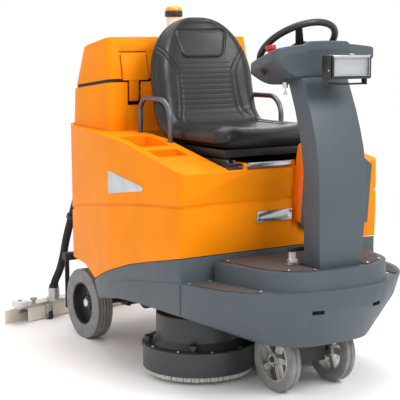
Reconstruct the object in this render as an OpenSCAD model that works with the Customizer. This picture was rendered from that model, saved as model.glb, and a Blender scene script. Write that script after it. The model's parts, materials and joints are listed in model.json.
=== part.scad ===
/* [Body] */
// Half width of the body across the pods
body_half_w = 455; // [420:1:520]
// Front face of the body at its top edge
body_front_x = 565; // [545:1:590]
// How far the front face leans back at its foot
body_front_rake = 30; // [10:1:45]
// Rearmost face of the body
body_rear_x = -609; // [-640:1:-600]
// Where the sides start to taper towards the rear
body_crease_x = 0; // [-40:1:40]
// Angle of that taper
body_taper = 10.5; // [6:0.5:12]
// Radius of the front corners of the body
body_front_r = 45; // [25:1:80]
// Radius of the rear corners of the body
body_rear_r = 170; // [120:1:190]
// Wall of the moulded tanks
tank_wall = 8; // [5:0.5:10]
// Height of the pods at the front
pod_front_z = 802; // [790:1:830]
// Height of the pods at the rear
pod_rear_z = 922; // [905:1:950]
// Inner face of the pods beside the seat
pod_inner_y = 250; // [235:1:258]
// Depth of the pockets in the pods
pocket_depth = 60; // [30:1:90]
// Depth of the styling groove
groove_depth = 5; // [2:0.5:7]

/* [Recovery tank] */
// Half width of the recovery tank
hood_half_w = 356; // [330:1:362]
// Half width at the top of the lid
lid_top_half_w = 339; // [300:1:345]
// Rear face of the recovery tank
hood_rear_x = -600; // [-606:1:-596]
// Rear face of the recovery tank at its top edge
tank_top_rear_x = -582; // [-590:1:-578]
// Rear edge of the lid's roof
lid_top_rear_x = -506; // [-520:1:-490]
// Front face of the recovery tank
hood_front_x = -160; // [-180:1:-150]
// Height of the lid's front top edge
lid_top_z = 1286; // [1240:1:1330]
// Height of the gap under the lid, at the front
lid_gap_front_z = 1104; // [1080:1:1130]
// Height of the gap under the lid, at the rear
lid_gap_rear_z = 1056; // [1030:1:1075]
// Height of the gap itself
lid_gap = 14; // [10:0.5:20]
// Bottom of the recovery tank
recovery_bottom_z = 620; // [560:1:700]

/* [Chassis] */
// Foremost point of the bumper
bumper_front_x = 940; // [930:1:990]
// Height of the steps
step_z = 410; // [390:1:430]
// Height of the bumper's crease
crease_z = 340; // [320:1:360]
// Height of the bumper's lower edge
bumper_bottom_z = 200; // [180:1:215]
// Height of the driver's platform
platform_z = 478; // [455:1:490]
// Wall of the chassis cover
cover_wall = 8; // [5:0.5:10]
// Height of the frame rails' lower face
rail_z = 302; // [298:1:320]
// Height and width of the frame rails
rail_size = 40; // [30:1:45]

/* [Wheels] */
// Radius of the rear tyres
rear_wheel_r = 150; // [140:1:155]
// Width of the rear tyres
rear_wheel_w = 70; // [55:1:74]
// Rear axle, behind the middle of the frame
rear_axle_x = -411; // [-430:1:-400]
// Middle of each rear tyre, from the centreline
rear_wheel_y = 333; // [325:1:340]
// Radius of the front tyres
front_wheel_r = 119; // [110:1:122]
// Width of the front tyres
front_wheel_w = 39; // [30:1:45]
// Steering axis
front_axle_x = 675; // [665:1:690]
// Middle of each front tyre, from the centreline
front_wheel_y = 125; // [118:1:132]
// Radius of the front axle
front_axle_r = 12; // [8:0.5:15]
// Radius of the kingpin
kingpin_r = 20; // [15:0.5:25]

/* [Brushes] */
// Brush centres, ahead of the middle of the frame
brush_x = 308; // [300:1:315]
// Brush centres, from the centreline
brush_y = 231; // [228:1:236]
// Radius of the brush skirts
skirt_r = 215; // [205:1:220]
// Lower edge of the brush skirts
skirt_bottom_z = 35; // [30:1:45]
// Upper edge of the brush skirts
skirt_top_z = 127; // [115:1:140]
// Radius of the motor turret on each skirt
turret_r = 163; // [140:1:170]
// Top of the motor turrets
turret_top_z = 243; // [225:1:245]
// Radius of the brushes
brush_r = 205; // [195:1:207]
// Lower end of the bristles with the deck raised
bristle_bottom_z = 16; // [12:1:25]
// Radius of the brush motor shafts
brush_shaft_r = 15; // [10:0.5:20]

/* [Squeegee] */
// Radius of the curve of the squeegee
squeegee_r = 1384; // [1300:1:1500]
// Rearmost point of the squeegee
squeegee_rear_x = -935; // [-950:1:-925]
// Half of the angle that the blades sweep
blade_half_deg = 23.7; // [20:0.1:25]
// Half of the angle that the squeegee body sweeps
holder_half_deg = 20.8; // [18:0.1:21]
// Height of the squeegee blades
blade_h = 62; // [50:1:70]
// Pivot of the squeegee arm
squeegee_pivot_x = -520; // [-530:1:-510]
// Height of the squeegee pivot
squeegee_pivot_z = 225; // [215:1:235]
// Outside diameter of the suction hose
hose_d = 36; // [30:1:40]

/* [Seat] */
// Front edge of the seat cushion
seat_front_x = 480; // [460:1:500]
// Half width of the seat cushion
seat_half_w = 236; // [210:1:240]
// Underside of the seat cushion
seat_under_z = 868; // [860:1:880]
// Top of the seat back
seat_top_z = 1366; // [1330:1:1400]
// Height of the seat plate's top face
seat_plate_z = 810; // [805:1:820]
// Height of the armrest rails
arm_top_z = 1042; // [1000:1:1080]
// Diameter of the armrest tubes
arm_tube_d = 21; // [18:1:25]
// Armrest tubes, from the centreline
arm_y = 264; // [262:1:270]

/* [Steering] */
// Middle of the steering wheel
steer_x = 623; // [610:1:640]
// Height of the middle of the steering wheel
steer_z = 1246; // [1230:1:1270]
// Outside radius of the steering wheel
steer_r = 156; // [148:1:180]
// Radius of the steering wheel's rim
steer_rim_r = 12.5; // [10:0.5:16]
// Tilt of the steering wheel
steer_tilt = 36; // [30:1:40]
// Radius of the steering shaft
steer_shaft_r = 11; // [8:0.5:14]
// Half width of the console
console_half_w = 223; // [200:1:240]

/* [Fits] */
// Radial clearance of shafts that turn
run_clear = 0.06; // [0.02:0.01:0.1]
// Gap between bodies that pass each other
body_gap = 3; // [2:0.5:5]

/* [Hidden] */
$fn = 48;
eps = 0.01;
body_rear_cx = body_rear_x + body_rear_r;
body_taper_end_x = body_rear_cx - body_rear_r * sin(body_taper);
body_rear_cy = body_half_w - (body_crease_x - body_taper_end_x) * tan(body_taper) - body_rear_r * cos(body_taper);
pod_crest_x = 122;
pod_crest_z = 890;
bay_rear_x = hood_front_x + 24;
bay_front_x = body_front_x - 40;
bay_ledge = 25;
bay_ledge_z = seat_plate_z - 10;
pocket_y0 = 290;
pocket_y1 = 420;
pockets_x = [[30, 205], [255, 343]];
rear_axle_z = rear_wheel_r;
front_axle_z = front_wheel_r;
rim_r = 92;
hub_r = 84;
hood_rear_r = 165;
hood_front_r = 30;
filler_pos = [430, 350];
filler_r = 45;
fork_top_z = 288;
skirt_inner_r = skirt_r - 5;
arm_pivot_x = -40;
arm_pivot_z = 286;
arm_deck_x = 150;
arm_deck_z = 205;
arm_y_deck = 60;
arm_pin_r = 8;
arm_feet = [[-66, 870], [168, 836]];
tilt_pin_x = body_front_x - 8;
tilt_pin_z = seat_plate_z + 8;
tilt_pin_r = 5;
key_pos = [722, -128];
pedal_x = 751;
pedal_z = platform_z + 14;
estop_pos = [704, -172];
lid_pin_x = hood_rear_x + 1;
lid_pin_z = lid_gap_rear_z + 16;
lid_roof_slope = 0.1785;
lid_pin_r = 5;
lamp_pin_x = 894;
lamp_pin_z = 1178;
latch_pin_z = 1216;
latch_pin_x = hood_front_x - 31 * (latch_pin_z - lid_gap_front_z - lid_gap) / (lid_top_z - lid_gap_front_z - lid_gap) - 5.6;
beacon_pos = [-400, 100];
beacon_r = 39;
roller_deg = 21.5;
roller_r = squeegee_r - 47;
caster_x = -798;
caster_y = 340;
caster_z = 18.5;
hose_end_y = -200;
hose_end_z = 1012;
hose_route = [
    [-836, -300, 112],
    [-836, -300, 140],
    [-823, -298, 172],
    [-787, -291, 228],
    [-752, -288, 300],
    [-725, -286, 374],
    [-690, -283, 450],
    [-662, -276, 520],
    [-646, -262, 600],
    [-640, -248, 680],
    [-639, -232, 760],
    [-640, -222, 840],
    [-643, -213, 905],
    [-645, -207, 945],
    [-642, -203, 980],
    [-633, -200, 1002],
    [-616, -200, 1012],
    [-596, -200, 1012],
    [-576, -200, 1012]
];

// Points of an arc from angle a0 to a1 in n steps.
function arc_pts(cx, cy, r, a0, a1, n) =
    [for (i = [0:n]) let (a = a0 + (a1 - a0) * i / n) [cx + r * cos(a), cy + r * sin(a)]];
// A closed outline from its half with y above zero, given front to rear.
function mirrored(half) =
    concat(half, [for (i = [len(half) - 1:-1:0]) [half[i].x, -half[i].y]]);
function signed_pow(v, p) = sign(v) * pow(abs(v), p);
// Front half of a superellipse, closed straight across at its centre.
function nose(cx, a, b, n, steps) =
    [for (i = [0:steps]) let (t = -90 + 180 * i / steps)
        [cx + a * signed_pow(cos(t), 2 / n), b * signed_pow(sin(t), 2 / n)]];
// Plan of the body, moved inwards by i.
function body_plan(i) = mirrored(concat(
    arc_pts(body_front_x - body_front_r, body_half_w - body_front_r, body_front_r - i, 0, 90, 6),
    [[body_crease_x, body_half_w - i]],
    arc_pts(body_rear_cx, body_rear_cy, body_rear_r - i, 90 + body_taper, 180, 9)));
// Lower edge of the body, front to rear.
function body_foot(i) = [
    [body_front_x - body_front_rake - i, 501 + i], [320, 458 + i], [167, 424 + i], [-4, 372 + i],
    [-120, 332 + i], [-178, 308 + i], [-320, rail_z + rail_size + 0.3 + i],
    [-540, rail_z + rail_size + 0.3 + i], [body_rear_x + i, 430 + i]];
// Side outline of the body, moved inwards by i.
function body_side(i) = concat(
    [[body_rear_x + i, pod_rear_z - i], [body_crease_x, 903 - i], [pod_crest_x, pod_crest_z - i],
     [body_front_x - i, pod_front_z - i]],
    body_foot(i));
// Plan of the recovery tank or its lid between two X and as wide as half_w each way, moved inwards by i.
function hood_outline(front, rear, half_w, i) = mirrored(concat(
    arc_pts(front - hood_front_r, half_w - hood_front_r, hood_front_r - i, 0, 90, 4),
    arc_pts(rear + hood_rear_r, half_w - hood_rear_r, hood_rear_r - i, 90, 180, 9)));
function hood_plan(i) = hood_outline(hood_front_x, hood_rear_x, hood_half_w, i);

module both_sides() {
    children();
    mirror([0, 1, 0]) children();
}
// An outline in X and Z, from -w to w across Y.
module side_prism(pts, w) {
    translate([0, w, 0]) rotate([90, 0, 0]) linear_extrude(2 * w) polygon(pts);
}
// An outline in Y and Z, from x0 to x1.
module front_prism(pts, x0, x1) {
    translate([x0, 0, 0]) rotate([90, 0, 90]) linear_extrude(x1 - x0) polygon(pts);
}
// A cylinder along Y from y0 to y1.
module y_cyl(x, z, r, y0, y1) {
    translate([x, y0, z]) rotate([-90, 0, 0]) cylinder(r = r, h = y1 - y0);
}
module box_at(x0, x1, y0, y1, z0, z1) {
    translate([x0, y0, z0]) cube([x1 - x0, y1 - y0, z1 - z0]);
}

module body_form(i) {
    intersection() {
        translate([0, 0, 250]) linear_extrude(800) polygon(body_plan(i));
        side_prism(body_side(i), body_half_w + 50);
    }
}
// Where the seat and the batteries sit between the pods, grown by g.
module bay_space(g) {
    box_at(bay_rear_x - g, bay_front_x + g, -pod_inner_y + bay_ledge - g, pod_inner_y - bay_ledge + g, 200, 900);
    box_at(bay_rear_x - g, bay_front_x + bay_ledge + g, -pod_inner_y - g, pod_inner_y + g, bay_ledge_z - g, 1000);
}
module pocket_space(g) {
    for (p = pockets_x) {
        z_floor = 868 - pocket_depth - (p[0] > 200 ? 24 : 0);
        both_sides() box_at(p[0] - g, p[1] + g, pocket_y0 - g, pocket_y1 + g, z_floor - g, 960);
    }
}
// Room under the tank for the rear of the frame and the vacuum motor, grown by g.
module frame_space(g) {
    box_at(body_rear_x - 20, bay_rear_x + 1, -184 - g, 184 + g, 200, rail_z + rail_size + 0.3 + g);
    box_at(-480 - g, bay_rear_x + 1, -100 - g, 100 + g, 200, 566 + g);
}
module hood_space(g) {
    translate([0, 0, recovery_bottom_z - body_gap - g]) linear_extrude(400) polygon(hood_plan(-body_gap - g));
}

module solution_tank() {
    color("#f28a12") difference() {
        body_form(0);
        bay_space(0);
        pocket_space(0);
        hood_space(0);
        frame_space(0);
        both_sides() for (f = arm_feet) translate([f.x, arm_y, f.y - 1]) cylinder(d = arm_tube_d + 0.12, h = 120);
        difference() {
            body_form(tank_wall);
            bay_space(tank_wall);
            pocket_space(tank_wall);
            hood_space(tank_wall);
            frame_space(tank_wall);
            front_prism([[60, 540], [60, 900], [260, 900], [260, 540]], body_front_x - 60, body_front_x);
        }
        difference() {
            side_prism([[body_front_x + 5, 681], [398, 670], [174, 651], [5, 628], [-200, 606], [-400, 572],
                [body_rear_x - 5, 520], [body_rear_x - 5, 532], [-400, 584], [-200, 618], [5, 640], [174, 663],
                [398, 682], [body_front_x + 5, 693]], body_half_w + 60);
            body_form(groove_depth);
            box_at(500, body_front_x + 10, 40, 430, 600, 800);
        }
        translate([filler_pos.x, filler_pos.y, 700]) cylinder(r = filler_r, h = 200);
    }
    color("#f28a12") for (y = [-190, 26]) difference() {
        side_prism_at([[549.5, 790], [564, 790], [564, 812], [560, 828], [549.5, 828]], y, y + 10);
        y_cyl(tilt_pin_x, tilt_pin_z, tilt_pin_r + run_clear, y - 1, y + 11);
    }
}
module solution_cap() {
    color("#202226") translate([filler_pos.x, filler_pos.y, 0]) {
        translate([0, 0, 790]) cylinder(r = filler_r - 0.3, h = 52);
        translate([0, 0, 841]) cylinder(r = filler_r + 10, h = 16);
        translate([-6, -filler_r, 857 - eps]) cube([12, 2 * filler_r, 11]);
    }
}

// The recovery tank without its slanting top, moved inwards by i, from height z0; its rear leans in above the body.
module tank_form(i, z0) {
    hull() {
        translate([0, 0, z0]) linear_extrude(pod_rear_z - 17 - z0) polygon(hood_plan(i));
        translate([0, 0, lid_gap_front_z]) linear_extrude(1)
            polygon(hood_outline(hood_front_x, tank_top_rear_x, hood_half_w, i));
    }
}
module recovery_tank() {
    color("#f28a12") difference() {
        intersection() {
            tank_form(0, recovery_bottom_z);
            side_prism([[hood_front_x + 5, recovery_bottom_z - 1], [hood_front_x + 5, lid_gap_front_z],
                [body_rear_x, lid_gap_rear_z], [body_rear_x, recovery_bottom_z - 1]], 400);
        }
        tank_form(tank_wall, recovery_bottom_z + tank_wall);
        hose_bore();
        box_at(hood_front_x - 9, hood_front_x + 6, -268, -206, 1010, 1120);
    }
    color("#f28a12") both_sides() lid_ear();
    color("#f28a12") both_sides() for (x = [-500, -230]) box_at(x, x + 40, 150, 190, recovery_bottom_z - 2.8, recovery_bottom_z + eps);
    color("#202226") difference() {
        hose_end(24, 3, 30);
        hose_bore();
    }
}
// The hose's seat on the tank, along X, of radius r and length h, standing out by g.
module hose_end(r, g, h) {
    translate([body_rear_x - g, hose_end_y, hose_end_z]) rotate([0, 90, 0]) cylinder(r = r, h = h);
}
module hose_bore() {
    translate([body_rear_x - 20, hose_end_y, hose_end_z]) rotate([0, 90, 0]) cylinder(r = hose_d / 2 + 0.3, h = 60);
}
module lid_ear() {
    difference() {
        hull() {
            y_cyl(lid_pin_x, lid_pin_z, 12, 120, 132);
            box_at(lid_pin_x - 12, hood_rear_x + 15, 120, 132, 985, 1000);
        }
        y_cyl(lid_pin_x, lid_pin_z, lid_pin_r + run_clear, 110, 140);
    }
}
function seal_plan(i) = hood_outline(hood_front_x, tank_top_rear_x, hood_half_w, i);
module tank_seal() {
    color("#1a1a1c") intersection() {
        difference() {
            translate([0, 0, 1000]) linear_extrude(160) polygon(seal_plan(tank_wall + 0.5));
            translate([0, 0, 999]) linear_extrude(162) polygon(seal_plan(tank_wall + 14));
            box_at(hood_front_x - 13, hood_front_x + 1, -296, -164, 1040, 1130);
        }
        side_prism([[hood_front_x + 5, lid_gap_front_z - 10], [hood_front_x + 5, lid_gap_front_z + lid_gap - 0.3],
            [body_rear_x, lid_gap_rear_z + lid_gap - 0.3], [body_rear_x, lid_gap_rear_z - 10]], 400);
    }
}
// Height of the lid's lower edge at x.
function lid_low(x) = lid_gap_rear_z + lid_gap
    + (x - body_rear_x) * (lid_gap_front_z - lid_gap_rear_z) / (hood_front_x + 5 - body_rear_x);
// The lid's front face at height z.
function lid_face(z) = hood_front_x - 31 * (z - lid_low(hood_front_x)) / (lid_top_z - lid_low(hood_front_x));
// Height of the lid's sloping roof at x.
function lid_roof(x) = lid_top_z + (x - lid_face(lid_top_z)) * lid_roof_slope;
function lid_side(i) = [
    [0, lid_low(0)], [0, lid_roof(0) - i], [body_rear_x - 20, lid_roof(body_rear_x - 20) - i],
    [body_rear_x - 20, lid_low(body_rear_x - 20)]];
module lid_form(i) {
    intersection() {
        hull() for (k = [[1056, tank_top_rear_x, hood_half_w], [lid_top_z + 4, lid_top_rear_x, lid_top_half_w]])
            translate([0, 0, k[0]]) linear_extrude(eps) polygon(hood_outline(lid_face(k[0]), k[1], k[2], i));
        side_prism(lid_side(i), 400);
    }
}
module tank_lid() {
    color("#f7951d") difference() {
        union() {
            difference() {
                lid_form(0);
                translate([0, 0, -1]) lid_form(6);
            }
            intersection() {
                box_at(hood_front_x - 60, hood_front_x + 10, -301, -159, 1100, 1240);
                lid_form(3);
            }
        }
        side_prism_at([[lid_face(1060) - 12, 1060], [lid_face(1228) - 12, 1228], [lid_face(1228) + 20, 1228],
            [lid_face(1060) + 20, 1060]], -294, -166);
        y_cyl(latch_pin_x, latch_pin_z, 3 + run_clear, -299, -161);
        translate([beacon_pos.x, beacon_pos.y, 1200]) cylinder(r = 36.1, h = 80);
    }
    color("#f7951d") both_sides() difference() {
        union() {
            y_cyl(lid_pin_x, lid_pin_z, 12, 133, 160);
            box_at(lid_pin_x, tank_top_rear_x + 11, 133, 160, lid_pin_z + 2, lid_pin_z + 12);
        }
        y_cyl(lid_pin_x, lid_pin_z, lid_pin_r, 125, 165);
    }
    color("#9a9ca0") both_sides() y_cyl(lid_pin_x, lid_pin_z, lid_pin_r, 118, 161);
}
module beacon_base() {
    color("#b9babd") translate([beacon_pos.x, beacon_pos.y, 1236]) cylinder(r1 = 36, r2 = 31, h = 136.2);
    color("#1c1d20") translate([beacon_pos.x, beacon_pos.y, 1372]) cylinder(r = beacon_r, h = 25);
}
module beacon_dome() {
    color("#ff9d00") translate([beacon_pos.x, beacon_pos.y, 1397]) {
        cylinder(r = beacon_r - 2, h = 9);
        translate([0, 0, 9 - eps]) cylinder(r1 = beacon_r - 2, r2 = beacon_r - 8, h = 9);
        translate([0, 0, 18 - eps]) cylinder(r1 = beacon_r - 8, r2 = beacon_r - 20, h = 5);
    }
}
module lid_latch() {
    lower = 1111;
    color("#ffab33") {
        side_prism_at([[lid_face(lower) - 11.6, lower], [latch_pin_x - 5.9, latch_pin_z], [latch_pin_x + 8, latch_pin_z],
            [lid_face(lower) + 4, lower]], -288, -172);
        y_cyl(latch_pin_x, latch_pin_z, 6, -293.7, -166.3);
        side_prism_at([[hood_front_x - 8.6, lower + eps], [hood_front_x + 3, lower + eps], [hood_front_x + 3, 1046],
            [hood_front_x - 2, 1026], [hood_front_x - 8.6, 1026]], -259, -217);
    }
    color("#9a9ca0") y_cyl(latch_pin_x, latch_pin_z, 3, -298, -162);
}
module side_prism_at(pts, y0, y1) {
    translate([0, y1, 0]) rotate([90, 0, 0]) linear_extrude(y1 - y0) polygon(pts);
}

module chassis_frame() {
    z1 = rail_z + rail_size;
    color("#2b2d31") difference() {
        union() {
            both_sides() box_at(-560, 640, 140, 140 + rail_size, rail_z, z1);
            for (x = [-560, -480, -200, 120, 480, 600]) box_at(x, x + rail_size, -181, 181, rail_z, z1);
            box_at(bay_rear_x + 4, bay_front_x - 4, -216, 216, z1 - eps, z1 + 6);
            box_at(front_axle_x - 80, front_axle_x + 70, -90, 90, rail_z, rail_z + 14);
            translate([front_axle_x, 0, rail_z]) cylinder(r = 44, h = 60);
            both_sides() box_at(rear_axle_x - 40, rear_axle_x + 40, 150, 165, rear_axle_z - 30, rail_z + 5);
            both_sides() box_at(squeegee_pivot_x - 25, squeegee_pivot_x + 25, 60, 72, squeegee_pivot_z - 22, rail_z + 5);
            both_sides() box_at(arm_pivot_x - 14, arm_pivot_x + 14, arm_y_deck + 14, arm_y_deck + 24, arm_pivot_z - 14, rail_z + 5);
            both_sides() box_at(arm_pivot_x - 14, arm_pivot_x + 14, arm_y_deck + 14, 141, rail_z - 6, rail_z + 10);
            both_sides() box_at(squeegee_pivot_x - 25, squeegee_pivot_x + 25, 60, 141, rail_z, rail_z + 10);
            box_at(440, 470, -body_half_w + 10.4, body_half_w - 10.4, rail_z + 8, rail_z + 20);
            box_at(-125, -105, -body_half_w + 34, body_half_w - 34, rail_z - 8, rail_z + 4);
            box_at(-440, -280, -150, 150, z1 - 6, z1);
            both_sides() box_at(600, 640, 140, 180, z1 - eps, platform_z - cover_wall - 0.3);
        }
        translate([front_axle_x, 0, rail_z - 1]) cylinder(r = kingpin_r + run_clear, h = 80);
        y_cyl(rear_axle_x, rear_axle_z, 18, -170, 170);
        y_cyl(squeegee_pivot_x, squeegee_pivot_z, 8 + run_clear, -80, 80);
        y_cyl(arm_pivot_x, arm_pivot_z, arm_pin_r + run_clear, -100, 100);
    }
}

module tub_hull(i) {
    hull() {
        translate([0, 0, step_z - 6]) linear_extrude(6) polygon(nose(540, bumper_front_x - 545 - i, body_half_w - 7 - i, 2.15, 28));
        translate([0, 0, crease_z - 2]) linear_extrude(4) polygon(nose(520, bumper_front_x - 520 - i, 420 - i, 2.1, 28));
        translate([0, 0, bumper_bottom_z]) linear_extrude(3) polygon(nose(560, 300 - i, 240 - i, 3.2, 28));
        box_at(240, 540, -body_half_w + 5 + i, body_half_w - 5 - i, 290, step_z);
    }
}
module platform_hull(i) {
    hull() {
        translate([0, 0, platform_z - 4 - i]) linear_extrude(4) polygon(nose(610, 305 - i, 292 - i, 3, 28));
        translate([0, 0, step_z - 20]) linear_extrude(4) polygon(nose(610, 309 - i, 296 - i, 3, 28));
        box_at(555, 600, -318 + i, 318 - i, step_z - 20, platform_z - i);
    }
}
module chassis_cover() {
    skirt = [[body_front_x - body_front_rake, 498], [320, 455], [167, 421], [-4, 369], [-120, 329], [-176, 304],
        [-194, 294], [-130, 232], [-60, 249], [83, 275], [241, 285], [body_front_x - body_front_rake, 292]];
    band = [[600, 420], [392, 393], [165, 361], [-66, 301], [-200, 250], [-200, 180], [600, 180]];
    color("#62686f") difference() {
        union() {
            tub_hull(0);
            platform_hull(0);
            intersection() {
                translate([0, 0, 180]) linear_extrude(330) polygon(body_plan(2));
                side_prism(skirt, body_half_w + 20);
            }
            intersection() {
                translate([0, 0, 180]) linear_extrude(330) polygon(body_plan(-1));
                side_prism(skirt, body_half_w + 20);
                side_prism(band, body_half_w + 20);
            }
        }
        difference() {
            union() {
                tub_hull(cover_wall);
                translate([0, 0, bumper_bottom_z - 50]) linear_extrude(53)
                    polygon(nose(560, 300 - cover_wall, 240 - cover_wall, 3.2, 28));
                intersection() {
                    translate([0, 0, 100]) linear_extrude(420) polygon(body_plan(cover_wall + 2));
                    box_at(-300, body_front_x - body_front_rake - 20, -600, 600, 100, 520);
                }
            }
            box_at(500, 1000, -500, 500, step_z - cover_wall, 600);
        }
        platform_hull(cover_wall);
        side_prism([[-300, 100], [-300, 240], [-130, 232], [-60, 249], [83, 275], [241, 285], [420, 262],
            [600, bumper_bottom_z + 1], [600, 100]], 600);
        both_sides() box_at(850, 1000, 108, 152, crease_z - 9, crease_z + 5);
        both_sides() translate([90, body_half_w, 262]) rotate([90, 0, 0]) cylinder(r = 7, h = 40, center = true);
    }
}
module platform_outline(i) {
    polygon(nose(612, 288 - i, 276 - i, 3, 20));
    translate([548, -290 + i]) square([64, 580 - 2 * i]);
}
module platform_mat() {
    color("#3a3432") translate([0, 0, platform_z]) linear_extrude(4) difference() {
        platform_outline(6);
        translate([770, -104]) square([130, 208]);
    }
}
module step_mats() {
    color("#3a3432") both_sides() translate([0, 0, step_z]) linear_extrude(3)
        polygon([[570, 340], [570, 428], [640, 414], [720, 388], [800, 340], [826, 306], [790, 304], [700, 318]]);
}
module deck_screws() {
    places = [[578, 275, platform_z + 4], [846, 202, platform_z + 4], [884, 118, platform_z + 4],
        [550, 420, step_z], [548, 334, step_z], [800, 286, step_z]];
    color("#d8dadd") for (p = places) both_sides() translate(p) {
        cylinder(r = 7, h = 2, $fn = 24);
        translate([0, 0, 2 - eps]) cylinder(r1 = 6, r2 = 3, h = 2, $fn = 24);
    }
}
// Front face of the body at height z.
function front_face(z) = body_front_x - body_front_rake * (pod_front_z - min(z, pod_front_z)) / 301;
// A layer on the body's front face, from g0 to g1 in front of it.
module front_slab(g0, g1) {
    side_prism([[front_face(520) + g0, 520], [front_face(900) + g0, pod_front_z], [front_face(900) + g0 + 2, 900],
        [front_face(900) + g1 + 2, 900], [front_face(900) + g1, pod_front_z], [front_face(520) + g1, 520]], 460);
}
module front_catch() {
    x = front_face(626) + 8;
    color("#c4c6ca") intersection() {
        front_slab(0.3, 9);
        box_at(500, 600, -130, 28, 606, 646);
    }
    color("#8b8d90") for (y = [-118, 10]) translate([x, y, 620]) rotate([0, 90, 0]) cylinder(r = 6, h = 4, $fn = 24);
    color("#c1301c") translate([x, 22, 638]) rotate([0, 90, 0]) cylinder(r = 5, h = 8, $fn = 24);
}
module service_panel() {
    color("#565b61") difference() {
        intersection() {
            front_slab(0.3, 14);
            front_prism(concat([[62, 862], [62, 640]], arc_pts(102, 600, 40, 180, 270, 5), [[400, 560], [400, 790],
                [300, 862]]), 500, 620);
        }
        intersection() {
            front_slab(10, 30);
            front_prism([[96, 640], [96, 836], [286, 836], [366, 780], [366, 594], [120, 594]], 500, 620);
        }
    }
}
module service_handle() {
    color("#ff7e00") intersection() {
        front_slab(0.3, 24);
        front_prism([[56, 588], [61.7, 592], [61.7, 884], [54, 890], [46, 880], [38, 833], [38, 707], [46, 600]], 500, 620);
    }
}
module arm_rails() {
    rear_x = arm_feet[0].x;
    front_x = arm_feet[1].x;
    bend = 55;
    color("#8d9196") both_sides() {
        arm_tube_leg(rear_x, arm_feet[0].y, arm_top_z - bend);
        translate([rear_x + bend, arm_y, arm_top_z - bend]) rotate([90, 0, 0]) rotate([0, 0, 90])
            rotate_extrude(angle = 90) translate([bend, 0]) circle(d = arm_tube_d, $fn = 24);
        y_tube(rear_x + bend, front_x - 78, arm_top_z);
        translate([front_x - 78, arm_y, arm_top_z - 78]) rotate([90, 0, 0])
            rotate_extrude(angle = 90) translate([78, 0]) circle(d = arm_tube_d, $fn = 24);
        arm_tube_leg(front_x, arm_feet[1].y, arm_top_z - 78);
    }
}
module arm_tube_leg(x, z0, z1) {
    translate([x, arm_y, z0]) cylinder(d = arm_tube_d, h = z1 - z0, $fn = 24);
}
module y_tube(x0, x1, z) {
    translate([x0, arm_y, z]) rotate([0, 90, 0]) cylinder(d = arm_tube_d, h = x1 - x0, $fn = 24);
}

column_face = [[878, 478.2], [883, 560], [889, 680], [890, 755], [885, 826], [873, 894], [856, 955], [832, 1025],
    [805, 1087], [782, 1140]];
module column_cover() {
    back = [for (i = [len(column_face) - 1:-1:0]) [column_face[i].x - 92 + 6 * i / 9, column_face[i].y]];
    inner = concat([for (p = column_face) [p.x - 7, p.y]], [for (p = back) [p.x + 7, p.y]]);
    color("#5d636a") difference() {
        intersection() {
            side_prism(concat(column_face, back), 130);
            front_prism([[-92, 478], [-100, 614], [-106, 755], [-104, 900], [-101, 1150], [101, 1150], [104, 900], [106, 755],
                [100, 614], [92, 478]], 600, 900);
        }
        intersection() {
            side_prism(concat([[871, 477]], inner, [[793, 477]]), 92);
            box_at(600, 900, -85, 85, 477, 1141);
        }
        translate([714, 0, 1135]) rotate([0, -steer_tilt, 0]) cylinder(r = 20, h = 60, center = true);
    }
}
console_side = [[792, 1240], [798, 1196], [767, 1113], [684, 1113], [603, 1128], [572, 1142], [566, 1160], [590, 1178]];
console_pitch = atan((1240 - 1178) / (792 - 590));
function console_z(x) = 1178 + (x - 590) * tan(console_pitch);
module console() {
    color("#5a6067") difference() {
        union() {
            intersection() {
                side_prism(console_side, 240);
                front_prism([[-console_half_w, 1262], [-console_half_w, 1205], [-150, 1112], [150, 1112],
                    [console_half_w, 1205], [console_half_w, 1262]], 500, 900);
                linear_extrude(1400) polygon([[800, -console_half_w], [800, console_half_w], [640, 214], [602, 190],
                    [572, 110], [572, -110], [602, -190], [640, -214]]);
            }
            side_prism([[795, 1236], [760, 1252], [640, 1206], [640, 1180], [790, 1200]], 92);
        }
        translate([steer_x, 0, steer_z]) rotate([0, -steer_tilt, 0])
            translate([0, 0, -170]) cylinder(r = steer_shaft_r + run_clear, h = 190);
        box_at(680, 800, -102, 102, 1100, 1140.3);
        translate([key_pos.x, key_pos.y, 1100]) cylinder(r = 9 + run_clear, h = 24);
        on_console(estop_pos.x, estop_pos.y) translate([0, 0, -47]) cylinder(r = 12 + run_clear, h = 67);
    }
}
// Children placed on the console's sloping top, with +Z square to it.
module on_console(x, y) {
    translate([x, y, console_z(x)]) rotate([0, -console_pitch, 0]) children();
}
module console_display() {
    color("#17181b") on_console(706, 130) box_at(-34, 34, -35, 35, 0.2, 7);
}
module ignition_key() {
    color("#a9abae") translate([key_pos.x, key_pos.y, 1103]) {
        cylinder(r = 9, h = 20);
        translate([-2, -1.5, -14]) cube([4, 3, 15]);
        translate([-9, -1.5, -24]) cube([18, 3, 11]);
    }
}
module estop_button() {
    color("#d3231d") on_console(estop_pos.x, estop_pos.y) {
        translate([0, 0, -39]) cylinder(r = 12, h = 60);
        translate([0, 0, 21 - eps]) cylinder(r1 = 18, r2 = 20, h = 16);
    }
}
module lamp_bracket() {
    color("#7b7e83") difference() {
        lamp_arms();
        y_cyl(lamp_pin_x, lamp_pin_z, 4 + run_clear, -90, 90);
    }
}
module lamp_arms() {
    bar_x = lamp_pin_x - 16;
    box_at(793.2, bar_x, -18, 18, 1115, 1121);
    box_at(bar_x - eps, bar_x + 14, -84.6, 84.6, 1115, 1121);
    both_sides() box_at(bar_x, bar_x + 26, 84.5, 88, 1115, 1190);
}
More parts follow.
